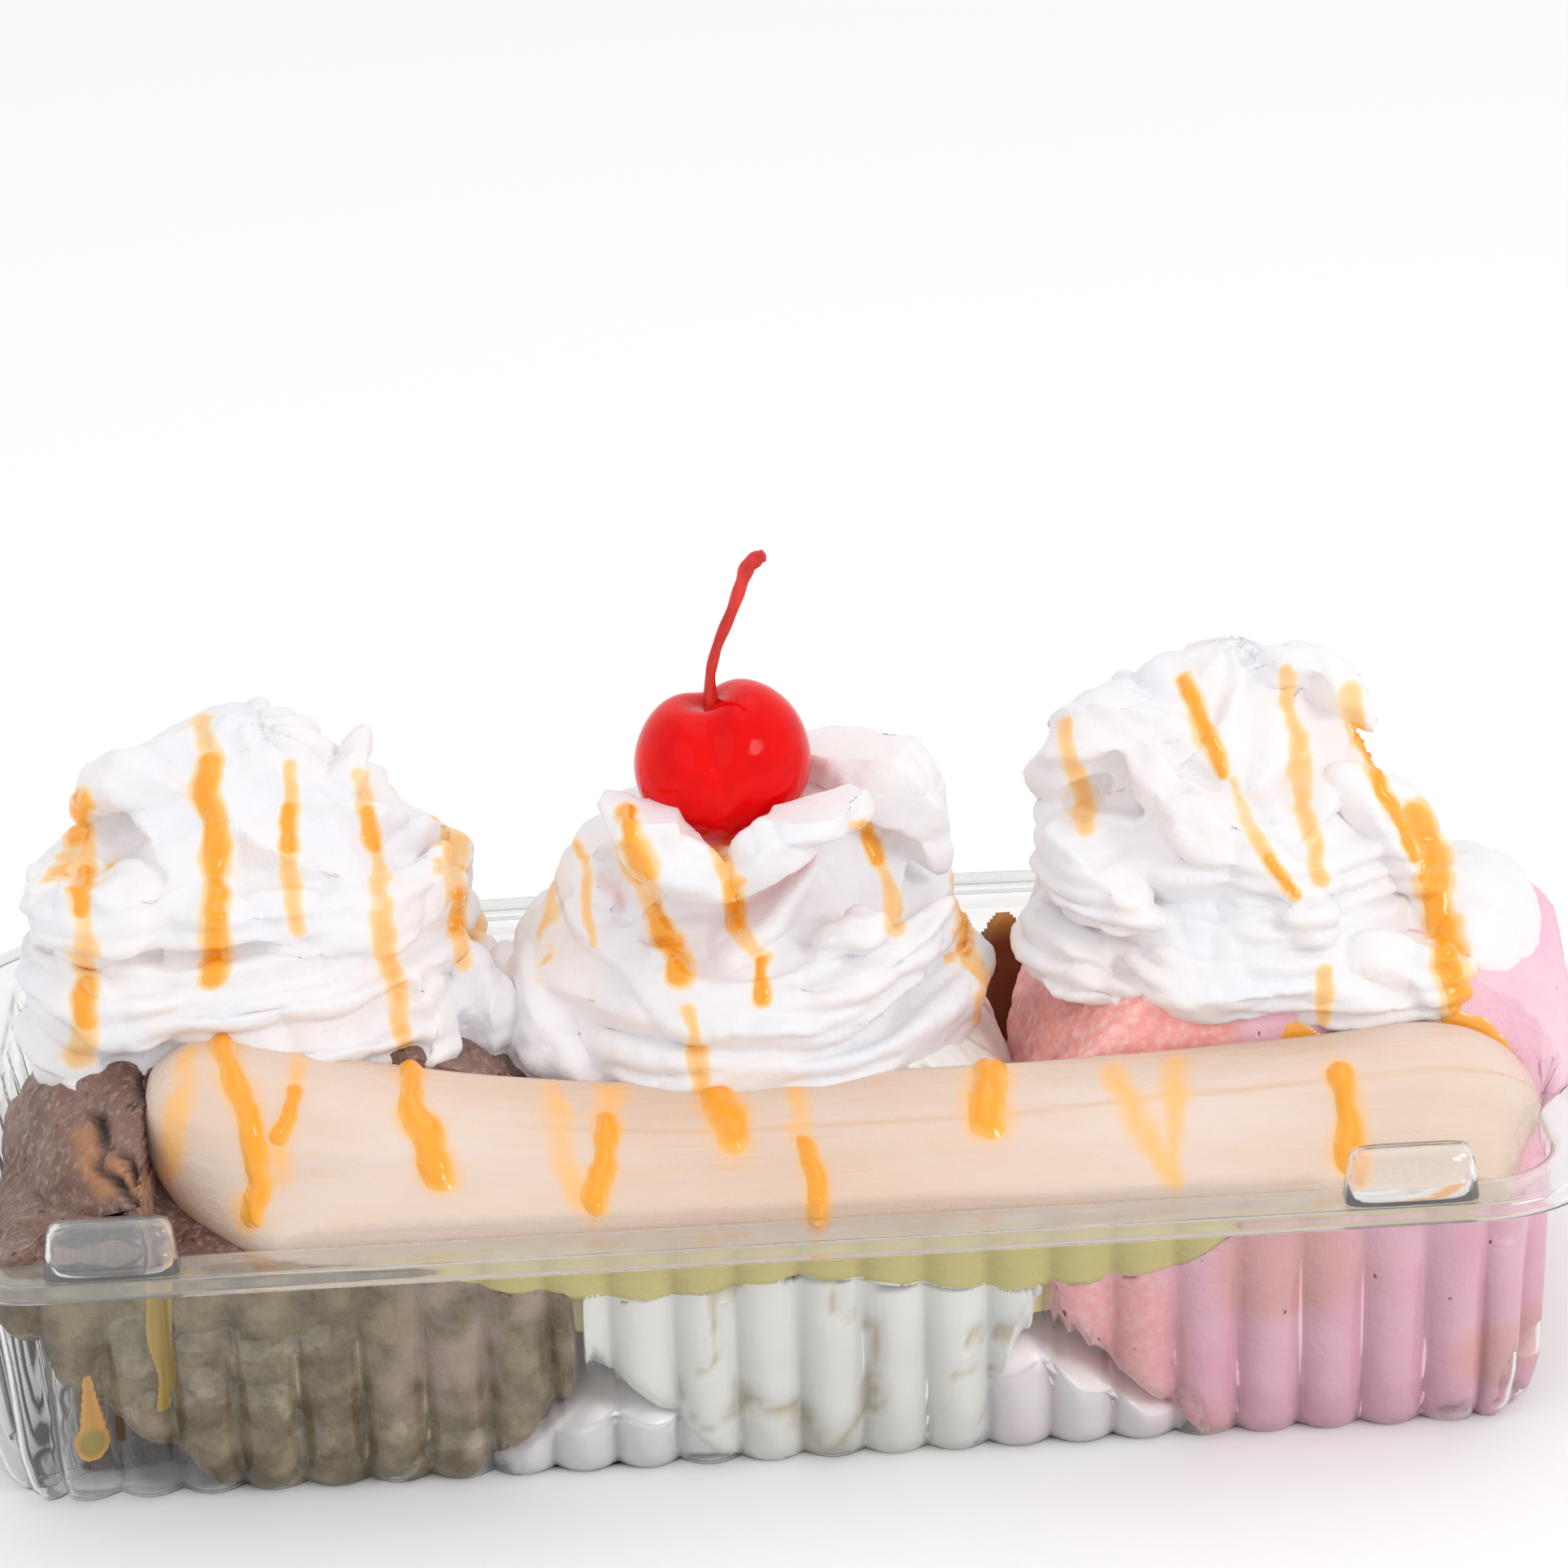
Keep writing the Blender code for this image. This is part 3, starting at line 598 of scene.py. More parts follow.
class SPLIT_OT_tray(bpy.types.Operator):
    """Clear tray: one thin sheet with flutes, flange and lip, and two hollow snap buttons"""

    bl_idname = "split.tray"
    bl_label = "Clear tray"

    def execute(self, context):
        sheet = context.scene.split_tray.sheet / MM
        per_flute = 12
        columns = FLUTES * per_flute
        s = np.arange(columns) * OUTLINE / columns
        core, way = outline_run(s)
        rings = []
        for z, offset, share in wall_profile():
            radius = CORNER + offset - flute_hollow(s, share)
            plan = core + way * radius[:, None]
            rings.append(bowed(np.concatenate((plan, np.full((columns, 1), z)), axis=-1)))
        outer = np.array(rings)
        # The inner face lies one sheet further along the normal, the cross product of the grid's
        # two directions.
        down = np.gradient(outer, axis=0)
        along = (np.roll(outer, -1, axis=1) - np.roll(outer, 1, axis=1)) / 2
        normal = np.cross(down, along)
        normal /= np.linalg.norm(normal, axis=-1, keepdims=True)
        inner = outer - normal * sheet
        rows = len(outer)
        count = rows * columns
        middle = np.array([(0.0, 0.0, 0.5), (0.0, 0.0, 0.5 + sheet)])
        points = np.concatenate((outer.reshape(-1, 3), inner.reshape(-1, 3), middle))
        edge = np.stack((np.arange(columns), np.roll(np.arange(columns), -1)), axis=-1)
        rim = np.concatenate((edge, edge[:, ::-1] + count), axis=-1)
        faces = [grid_faces(rows, columns, flip=True), grid_faces(rows, columns) + count, rim,
                 cap_faces(2 * count, count - columns, columns),
                 cap_faces(2 * count + 1, 2 * count - columns, columns, flip=True)]
        finish = clear_pet()
        tray = show("tray_sheet", mesh_from("tray_sheet", points, faces), finish, ("tray",))
        tray.data.materials.append(hazed_pet())
        # The thin sheet throws no shadow, so that the lamps reach what is inside it.
        tray.visible_shadow = False
        heights = np.array([polygon.center.z for polygon in tray.data.polygons]) / MM
        tray.data.polygons.foreach_set("material_index", (heights > RIM_HEIGHT - 2.2).astype(np.int32))
        for side, name in ((-1, "snap_button_left"), (1, "snap_button_right")):
            self.button(name, side * BUTTON_X, sheet, bpy.data.materials["pet_rim_stress_hazed"])
        return {"FINISHED"}

    def button(self, name, x, sheet, finish):
        """A hollow rounded block standing on the flange, open below.

        In plan it is a superellipse of power 5. Its sides lean in a little and its top edge is
        rounded. The inner face repeats the outer one a sheet's thickness smaller.
        """
        columns = 72
        angle = np.arange(columns) * 2 * math.pi / columns
        profile = ((0.0, 0.0), (0.4, 3.6), (0.6, 5.0), (1.0, 5.9), (1.7, 6.35), (2.3, 6.4))
        centre = np.array((x, -(RIM_WIDTH / 2 - FLANGE / 2 - 0.2)))
        shells = []
        for shrink in (0.0, sheet):
            rings = []
            for inset, height in profile:
                half = np.array(BUTTON_SIZE[:2]) / 2 - inset - shrink
                power = 5.0
                ray = (np.abs(np.cos(angle) / half[0]) ** power + np.abs(np.sin(angle) / half[1]) ** power)
                ray = ray ** (-1 / power)
                plan = centre + np.stack((np.cos(angle), np.sin(angle)), axis=-1) * ray[:, None]
                z = RIM_HEIGHT + max(height - shrink, 0.02)
                rings.append(np.concatenate((plan, np.full((columns, 1), z)), axis=-1))
            shells.append(np.array(rings))
        rows = len(profile)
        count = rows * columns
        top = RIM_HEIGHT + profile[-1][1]
        middle = np.array([(*centre, top), (*centre, top - sheet)])
        points = np.concatenate((shells[0].reshape(-1, 3), shells[1].reshape(-1, 3), middle))
        edge = np.stack((np.arange(columns), np.roll(np.arange(columns), -1)), axis=-1)
        rim = np.concatenate((edge[:, ::-1], edge + count), axis=-1)
        faces = [grid_faces(rows, columns), grid_faces(rows, columns, flip=True) + count, rim,
                 cap_faces(2 * count, count - columns, columns, flip=True),
                 cap_faces(2 * count + 1, 2 * count - columns, columns)]
        button = show(name, mesh_from(name, points, faces), finish)
        button.visible_shadow = False


# ----------------------------------------------------------------------------------------- banana

BANANA_START = -74.5
BANANA_END = 97.0
BANANA_BACK = -26.8
BANANA_DEPTH = 14.6
BANANA_HEIGHT = 27.5
BANANA_LEAN = math.radians(10.0)
BANANA_BLUNT = 14.0
BANANA_TAPER = 21.0
BANANA_LEVEL = 30.8
BANANA_RISE = (13.0, 3.2)
BANANA_CURL = 3.0
# Height that the ice cream reaches at the front wall, where the banana's underside rests: x and z
BANANA_REST = ((-60.0, -42.0, -33.0, -14.0, 5.0, 29.0, 50.0, 58.0, 84.0, 92.0),
               (33.0, 31.5, 27.5, 25.0, 27.0, 23.5, 25.0, 31.0, 30.0, 32.0))


def banana_line(x):
    """Section size share, middle height and back position of the banana half at x."""
    left = np.clip((x - BANANA_START) / BANANA_BLUNT, 0, 1)
    right = np.clip((BANANA_END - x) / BANANA_TAPER, 0, 1)
    size = np.maximum(np.sqrt(1 - (1 - left) ** 2) * (1 - (1 - right) ** 2.6) ** 0.6, 0.02)
    to_left = np.clip(x / BANANA_START, 0, None)
    to_right = np.clip(x / BANANA_END, 0, None)
    middle = BANANA_LEVEL + BANANA_RISE[0] * to_left ** 1.9 + BANANA_RISE[1] * to_right ** 4
    return size, middle, BANANA_BACK + BANANA_CURL * (x / BANANA_END) ** 2


def clear_of_banana(points):
    """Ice cream made way for the banana. In front of its cut face it stops at a height that is
    lower along the banana's middle; what stood well above that goes behind the cut face."""
    x = np.clip(points[..., 0], BANANA_START, BANANA_END)
    size, middle, back = banana_line(x)
    cos, sin = math.cos(BANANA_LEAN), math.sin(BANANA_LEAN)
    dy, dz = points[..., 1] - back, points[..., 2] - middle
    u, w = dy * cos - dz * sin, dy * sin + dz * cos
    face = 0.12 * BANANA_DEPTH * size
    limit = np.interp(x, *BANANA_REST) + 0.4 * noise(points, 7.0, 77)
    above = np.where((points[..., 0] > BANANA_START + 1) & (u < face), points[..., 2] - limit, -1.0)
    u = np.where(above > 8.0, face + 0.1, u)
    y, z = back + u * cos + w * sin, middle + w * cos - u * sin
    z = np.where((above > 0) & (above <= 8.0), limit, z)
    return np.stack((points[..., 0], y, z), axis=-1)


# Sauce runs: depth, half width, and places (x, z) on an upright plane near the banana's front
BANANA_PLANE = -36.0
def broken_runs(stripes, seed):
    """Sauce poured in stripes: each is cut into lengths of about 5 mm, which stray a little to the
    side and change in width. The given share of them stands thick, and the rest only stains."""
    rng = np.random.default_rng(seed)
    runs = []
    for left, right, top, foot, width, full in stripes:
        count = max(1, round((top - foot) / 5.0))
        share = np.linspace(0.0, 1.0, count + 1)
        x = left + (right - left) * share + rng.uniform(-0.7, 0.7, count + 1)
        z = top + (foot - top) * share
        for k in range(count):
            thick = 1.0 if rng.random() < full else rng.uniform(0.35, 0.55)
            breadth = width * rng.uniform(0.75, 1.15)
            runs.append((thick, breadth, ((x[k], z[k]), (x[k + 1], z[k + 1]))))
    return tuple(runs)


# Stripes of sauce: x at top and foot, height of top and foot, half width, share that stands thick.
BANANA_RUNS = broken_runs((
    (-67, -71, 58, 42, 1.6, 0.1),
    (-62, -60, 59, 35, 1.9, 0.9),
    (-54, -58, 57, 40, 1.4, 0.2),
    (-41, -39, 54, 39, 2.0, 0.9),
    (-24, -22, 50, 34, 1.5, 0.3),
    (-17, -20, 51, 34, 1.6, 0.5),
    (-4, -3, 50, 42, 2.6, 0.9),
    (5, 7, 51, 30, 1.6, 0.3),
    (28, 28, 49, 42, 2.2, 1.0),
    (43, 50, 48, 33, 1.9, 0.1),
    (51, 50, 48, 33, 1.5, 0.1),
    (71, 72, 46, 34, 2.4, 1.0),
), 50)
CHOCOLATE_CRACK = (
    (1.0, 0.7, ((-79, 47), (-78.5, 43), (-80, 40), (-77, 36.5), (-73.5, 33))),
    (1.0, 0.5, ((-78.5, 43), (-76, 41), (-75.5, 38))),
)
CHOCOLATE_RUNS = (
    (0.5, 1.2, ((-81, 44.5), (-80.5, 40), (-79.5, 37))),
    (0.5, 1.3, ((-77.5, 41), (-77, 38.5), (-75.5, 36.5))),
)
STRAWBERRY_RUNS = (
    (0.9, 2.2, ((67, 44.5), (70, 43))),
    (0.9, 1.5, ((86, 46), (89.5, 44.5), (92, 42), (93.5, 39))),
)


def camera_view():
    """Where the camera is, in millimetres in the tray's plan, and its right, up and ahead ways."""
    yaw, down, roll = math.radians(1.63), math.radians(22.43), math.radians(2.55)
    ahead = np.array((math.sin(yaw) * math.cos(down), math.cos(yaw) * math.cos(down), -math.sin(down)))
    level = np.array((math.cos(yaw), -math.sin(yaw), 0.0))
    upright = np.cross(level, ahead)
    right = math.cos(roll) * level - math.sin(roll) * upright
    up = math.sin(roll) * level + math.cos(roll) * upright
    distance = bpy.context.scene.split_stage.distance / MM
    return np.array((6.1, 0.0, 72.7)) - ahead * distance, right, up, ahead


def polyline_distance(a, b, path):
    """Distance from each place (a, b) to a path of straight pieces, and the share run along it."""
    nearest = np.full(np.shape(a), 1e9)
    for (a0, b0), (a1, b1) in zip(path[:-1], path[1:]):
        length = (a1 - a0) ** 2 + (b1 - b0) ** 2
        t = np.clip(((a - a0) * (a1 - a0) + (b - b0) * (b1 - b0)) / length, 0, 1)
        nearest = np.minimum(nearest, np.hypot(a - a0 - t * (a1 - a0), b - b0 - t * (b1 - b0)))
    return nearest


def run_depth(distance, width, depth):
    """Sauce depth: a flat round bead over the run's width, and below nothing outside it."""
    share = distance / width
    return np.where(share < 1, depth * np.clip(1 - share ** 2, 0, 1) ** 0.75, -0.6 * (share - 1))


def poured(points, normals, sources, seed, bead_from=0.6):
    """Sauce depth and stain on a surface's points. Each source is an eye, an upright plane's y and
    its runs, which are laid out on that plane and carried on to the surface along straight lines
    from the eye, as if poured from there. Thin runs stain the surface and stand up nowhere."""
    wander = 0.45 * fractal(points, 3.5, 2, seed)
    patchy = noise(points, 3.5, seed + 2) + 0.5 * noise(points, 1.8, seed + 3)
    fading = np.clip(0.9 + 0.45 * noise(points, 2.8, seed + 4), 0.0, 1.0)
    ledge = 0.8 + 0.5 * step(0.0, 0.7, normals[:, 2])
    depth, stain = np.full(len(points), -1.0), np.zeros(len(points))
    for eye, plane, runs in sources:
        away = eye - points
        facing = step(-0.1, 0.12, (normals * away).sum(axis=1) / np.linalg.norm(away, axis=1))
        facing = facing * step(-14.0, -9.0, (points[:, 1] - plane) * np.sign(eye[1] - plane))
        share = (plane - eye[1]) / (points[:, 1] - eye[1])
        flat = eye + (points - eye) * share[:, None]
        for thick, width, path in runs:
            distance = polyline_distance(flat[:, 0] + wander, flat[:, 2], path)
            across = width * (1 + 0.38 * patchy)
            soft = step(1.6, 0.25, distance / across) * min(1.0, 0.42 + 0.6 * thick) * fading
            if thick >= bead_from:
                bead = run_depth(distance, 0.75 * across, thick * ledge)
                depth = np.maximum(depth, np.where(facing > 0.3, bead, -1.0))
            stain = np.maximum(stain, soft * facing)
    return depth, stain


def sauce_shell(name, mesh, depth, dark=None, finer=1, rise=0.3):
    """Sauce lying on a mesh: its faces with any sauce on them, raised by a share of its depth.

    Its rim lies below the surface it rests on, so the bead meets that surface cleanly.
    """
    points, normals = mesh_points(mesh)
    corners = mesh_quads(mesh)
    kept = corners[(depth[corners] > 0).any(axis=1)]
    used, faces = np.unique(kept, return_inverse=True)
    lift = np.where(depth[used] > 0, 0.05 + rise * depth[used], np.maximum(depth[used], -0.35))
    raised = points[used] + normals[used] * lift[:, None]
    made = mesh_from(name, raised, [faces.reshape(-1, 3)])
    set_attribute(made, "depth", np.clip(depth[used], 0, None))
    set_attribute(made, "dark", np.zeros(len(used)) if dark is None else dark[used])
    obj = show(name, made, bpy.data.materials["caramel_sauce_poured"])
    smooth = obj.modifiers.new("smooth", "SUBSURF")
    smooth.levels = finer
    smooth.render_levels = finer
    return obj


class SPLIT_OT_banana(bpy.types.Operator):
    """Banana half along the front wall, with the caramel that runs down it"""

    bl_idname = "split.banana"
    bl_label = "Banana half"

    def execute(self, context):
        rows, front, rear = 330, 70, 14
        t = np.linspace(0, 1, rows)
        crowded = BANANA_START + (BANANA_END - BANANA_START) * (1 - np.cos(np.pi * t)) / 2
        x = (0.4 * np.linspace(BANANA_START, BANANA_END, rows) + 0.6 * crowded)[:, None]
        size, middle, back = banana_line(x)
        # A D-shaped section: half a superellipse in front with flats that meet in soft ridges, and
        # a nearly flat cut face behind.
        angle = np.concatenate((np.linspace(-90, 90, front), np.linspace(90, 270, rear + 2)[1:-1]))
        angle = np.radians(angle)[None, :]
        ahead = np.cos(angle) > 0
        flats = 0.045 * np.abs(np.cos(2.5 * (angle - math.radians(58))))
        around = np.where(ahead, 1.0 - flats, 1.0)
        u = np.where(ahead, -np.cos(angle) * BANANA_DEPTH, -np.cos(angle) * 0.12 * BANANA_DEPTH)
        w = np.sin(angle) * BANANA_HEIGHT / 2
        u, w = u * size * around, w * size * around
        cos, sin = math.cos(BANANA_LEAN), math.sin(BANANA_LEAN)
        points = np.stack((x + 0 * u, back + u * cos + w * sin, middle + w * cos - u * sin), axis=-1)
        # Gentle unevenness along its length, and a soft dent or two
        lumps = fractal(points * (0.35, 1.0, 1.0), 12.0, 3, 5) * 0.35
        away = np.stack((0 * u, points[..., 1] - back, points[..., 2] - middle), axis=-1)
        away /= np.maximum(np.linalg.norm(away, axis=-1, keepdims=True), 1e-6)
        points = points + away * (lumps * size)[..., None]
        # Its lower front sags against the tray's wall.
        z = points[..., 2]
        sag = step(42.0, 33.0, z) * step(12.0, 18.0, z) * step(-70.0, -50.0, x) * step(95.0, 88.0, x)
        points[..., 1] -= 9.0 * sag * ahead
        # Below the height where it rests, it lies behind the ice cream.
        hidden = step(0.2, 1.4, np.interp(x, *BANANA_REST) - points[..., 2])
        grid, _ = pressed(points, 0.1, 2.0 * hidden)
        tips = np.stack((grid[0].mean(axis=0), grid[-1].mean(axis=0)))
        columns = front + rear
        everything = np.concatenate((tips[:1], grid.reshape(-1, 3), tips[1:]))
        mesh = mesh_from("banana_flesh", everything, ball_faces(rows, columns))
        share = np.where(ahead, angle / (math.pi / 2), 1.4) + 0 * x
        whole = lambda values: np.concatenate(((0.0,), values.ravel(), (0.0,)))
        depth, stain = poured(*mesh_points(mesh), ((camera_view()[0], BANANA_PLANE, BANANA_RUNS),), 3)
        set_attribute(mesh, "stain", stain)
        line = share - 0.56 + 0.03 * noise(grid * (1.0, 0.0, 0.0), 25.0, 33)
        set_attribute(mesh, "crest", whole(bell(line, 0.018) * step(-40.0, -10.0, grid[..., 0])))
        # The olive-yellow band below the rim, partly the painted shadow of the flange.
        turn = grid[..., 2] + 0.8 * noise(grid, 9.0, 31)
        set_attribute(mesh, "under", whole(step(34.0, 30.5, turn) * step(0.35, 0.0, share)))
        piece = show("banana_flesh", mesh, banana_flesh(), ("banana_half",))
        sauce_shell("caramel_on_banana", piece.data, depth, rise=0.8)
        return {"FINISHED"}


# -------------------------------------------------------------------------------------- ice cream


def ball_directions(rows, columns, crowd=0.0):
    """Unit directions in rows from just below the upper pole to just above the lower one. Columns
    stand closer together in front, by a sine's share of their spacing."""
    down = np.pi * np.arange(1, rows + 1) / (rows + 1)
    round_way = 2 * np.pi * np.arange(columns) / columns
    round_way = round_way + crowd * np.cos(round_way)
    phi, theta = np.meshgrid(down, round_way, indexing="ij")
    return np.stack((np.sin(phi) * np.cos(theta), np.sin(phi) * np.sin(theta), np.cos(phi)), axis=-1)


def scoop_points(centre, half, power, way, front=1.0):
    """A rounded box, |x/a|^p + |y/b|^p + |z/c|^p = 1, drawn out by a factor in front and low down."""
    low = step(0.33, 0.22, way[..., 2:3]) * (way[..., 1:2] < 0)
    reach = np.array(half) * (1 + low * (front - 1) * np.array((0.0, 1.0, 0.0)))
    radius = (np.abs(way / reach) ** power).sum(axis=-1) ** (-1 / power)
    return np.array(centre) + way * radius[..., None], radius


def cracks(points, size, seed, width=0.06):
    """Thin crooked lines where a warped noise passes through zero, 1 on the line and 0 off it."""
    warp = np.stack([fractal(points, size / 2, 2, seed + k) for k in (1, 2, 3)], axis=-1)
    return bell(noise(points + warp * size * 0.35, size, seed), width)


SCOOPS = {  # centre, half sizes, relief in mm, crack depth, seed
    "chocolate_scoop": ((-57.5, -2.0, 22.0), (35.5, 46.0, 29.5), 0.9, 1.5, 11),
    "vanilla_scoop": ((5.8, -2.0, 20.0), (29.2, 46.0, 27.0), 0.45, 0.5, 23),
    "strawberry_scoop": ((68.3, -2.0, 23.0), (35.0, 46.0, 31.0), 0.9, 1.2, 37),
}
# Where each scoop falls back from the front wall: a place (x, z) on a line and the way past it
SCOOP_FALLS = {
    "chocolate_scoop": ((-79.0, 13.7, -0.67, -0.74), (-26.0, 12.0, 0.66, -0.75)),
    "vanilla_scoop": ((-20.0, 17.0, -0.7, -0.7), (29.5, 17.0, 0.94, -0.34)),
    "strawberry_scoop": ((35.0, 20.0, -0.7, -0.72),),
}
SCOOP_PRESS = {"chocolate_scoop": 0.12, "vanilla_scoop": 0.09, "strawberry_scoop": 0.14}
SCOOP_LUMPS = {  # direction, gain, width
    "chocolate_scoop": ((-1, -0.5, 0.5), 0.06, 0.2),
    "vanilla_scoop": ((0, 0, 1), 0.0, 0.2),
    "strawberry_scoop": ((1, 0.2, 0.7), 0.20, 0.12),
}


class SPLIT_OT_scoops(bpy.types.Operator):
    """Ice cream scoops, pressed against the tray's front wall, torn and cracked above"""

    bl_idname = "split.scoops"
    bl_label = "Ice cream scoops"

    def execute(self, context):
        finishes = {
            "chocolate_scoop": (chocolate_ice_cream(), "chocolate_ice_cream"),
            "vanilla_scoop": (vanilla_ice_cream(), "vanilla_ice_cream"),
            "strawberry_scoop": (strawberry_ice_cream(), "strawberry_ice_cream"),
        }
        for node, (finish, slot) in finishes.items():
            self.scoop(node, finish, slot)
        return {"FINISHED"}

    def scoop(self, node, finish, slot, rows=200, columns=300):
        centre, half, relief, crack_depth, seed = SCOOPS[node]
        way = ball_directions(rows, columns, -0.5)
        free, _ = scoop_points(centre, half, 2.6, way, 2.2)
        towards, gain, width = SCOOP_LUMPS[node]
        towards = np.array(towards) / np.linalg.norm(towards)
        swell = 1 + gain * np.exp(-(1 - way @ towards) / width)
        free = np.array(centre) + (free - centre) * swell[..., None]
        # Torn lumps a few millimetres across, and grain on them
        lumps = fractal(free, 9.0, 5, seed) * relief + fractal(free, 2.2, 2, seed + 5) * relief * 0.35
        free = free + way * lumps[..., None]
        free = clear_of_banana(free)
        recess = np.zeros(free.shape[:2])
        for x, z, right, up in SCOOP_FALLS[node]:
            past = (free[..., 0] - x) * right + (free[..., 2] - z) * up + 1.2 * noise(free, 6.0, 5)
            recess = np.maximum(recess, 12.0 * step(0.0, 6.0, past) * (free[..., 1] < 5))
        points, contact = pressed(free, SCOOP_PRESS[node], recess)
        contact = contact * (1 - np.clip(recess, 0, 1))
        crack = cracks(points, 17.0, seed + 50) * step(0.0, 0.5, noise(points, 22.0, seed + 61) + 0.2)
        points = points - way * (crack * crack_depth)[..., None]
        ends = np.array([centre, centre]) + [(0, 0, half[2] * 0.999), (0, 0, 0)]
        ends[1] = points[-1].mean(axis=0)
        ends[0] = points[0].mean(axis=0)
        everything = np.concatenate((ends[:1], points.reshape(-1, 3), ends[1:]))
        mesh = mesh_from(slot + "_body", everything, ball_faces(rows, columns))
        whole = lambda a: np.concatenate(((0.0,), a.ravel(), (0.0,)))
        crack = whole(crack)
        if node == "chocolate_scoop":
            # A deep crooked crack in front, and sauce that soaked in beside it
            eye = camera_view()[0]
            gap = poured(*mesh_points(mesh), ((eye, -30.0, CHOCOLATE_CRACK),), 8, 2.0)[1]
            soaked = poured(*mesh_points(mesh), ((eye, -30.0, CHOCOLATE_RUNS),), 8, 2.0)[1]
            crack = np.maximum(crack, gap)
            set_attribute(mesh, "soaked", soaked)
            cut = mesh_points(mesh)
            move_points(mesh, cut[0] - cut[1] * (1.6 * gap)[:, None])
        # Along the cracks, including the deep one in front, the finishes paint shade.
        set_attribute(mesh, "crack", crack)
        # Where each scoop is pressed to the wall. On the chocolate this is painted lighter, partly as a painted sheen
        # of the sheet.
        set_attribute(mesh, "wet", whole(contact * step(35.0, 33.0, points[..., 2]) * 0.85))
        stain = step(0.1, 0.5, noise(points + 3.0, 13.0, seed + 3))
        torn = step(0.15, -0.15, (points[..., 0] - 60.0 + 8.0 * contact) / 30.0 + 0.25 * noise(points, 9.0, seed + 9))
        set_attribute(mesh, "torn", whole(torn * step(0.0, -0.4, contact - 0.5) + torn * contact * 0.6))
        right = step(12.0, 26.0, points[..., 0]) if node == "vanilla_scoop" else contact
        set_attribute(mesh, "stain", whole(stain * right * 0.6))
        piece = show(slot + "_body", mesh, finish, (node,))
        if node == "strawberry_scoop":
            source = (camera_view()[0], -22.0, STRAWBERRY_RUNS)
            sauce_shell("caramel_on_strawberry", piece.data, poured(*mesh_points(mesh), (source,), 8)[0])


class SPLIT_OT_melt(bpy.types.Operator):
    """Melted ice cream that fills the tray's base between the scoops"""

    bl_idname = "split.melt"
    bl_label = "Melted ice cream"

    def execute(self, context):
        rows, columns = 120, 400
        way = ball_directions(rows, columns, -0.5)
        centre = np.array((9.0, 0.0, 3.0))
        free, _ = scoop_points(centre, (51.0, 52.0, 8.5), 3.0, way)
        free = free + way * (0.6 * fractal(free, 12.0, 3, 71))[..., None]
        x, z = free[..., 0], free[..., 2]
        level = np.interp(x, (-42, -30, -21, -12, 22, 32, 40, 50, 60), (5, 8.5, 12.5, 9, 10, 18, 12, 6, 4))
        free[..., 2] = np.where(z > 3.0, 3.0 + (z - 3.0) * (level - 3.0) / 8.5, z)
        # Under the vanilla scoop it lies behind the scoop.
        points, _ = pressed(free, 0.05, 1.5 * step(-14.0, -8.0, x) * step(28.0, 22.0, x))
        ends = np.stack((points[0].mean(axis=0), points[-1].mean(axis=0)))
        everything = np.concatenate((ends[:1], points.reshape(-1, 3), ends[1:]))
        mesh = mesh_from("melted_pool", everything, ball_faces(rows, columns))
        show("melted_pool", mesh, melted_ice_cream())
        return {"FINISHED"}


# ------------------------------------------------------------------------------------------ cream

CREAM_LOBES = {  # direction in degrees, height share, how far out, half widths in radians and share
    "cream_left": ((180, 0.86, 6.0, 0.50, 0.09), (180, 0.50, 3.0, 0.70, 0.25), (0, 0.66, 3.0, 0.50, 0.12)),
    "cream_middle": ((0, 0.83, 6.5, 0.60, 0.12),),
    "cream_right": ((180, 0.80, 7.5, 0.60, 0.12), (0, 0.85, 4.5, 0.50, 0.09)),
}
# Turns, start direction in degrees, sense, height share where the rope ends, the crown's twist
CREAM_TURNS = {
    "cream_left": (2.3, 205, 1, 0.60, 15.0),
    "cream_middle": (2.2, 150, 1, 0.62, -12.0),
    "cream_right": (2.2, 170, -1, 0.55, -15.0),
}
ROPE_WIDE = (10.5, 8.0)
ROPE_TALL = (8.2, 6.4)
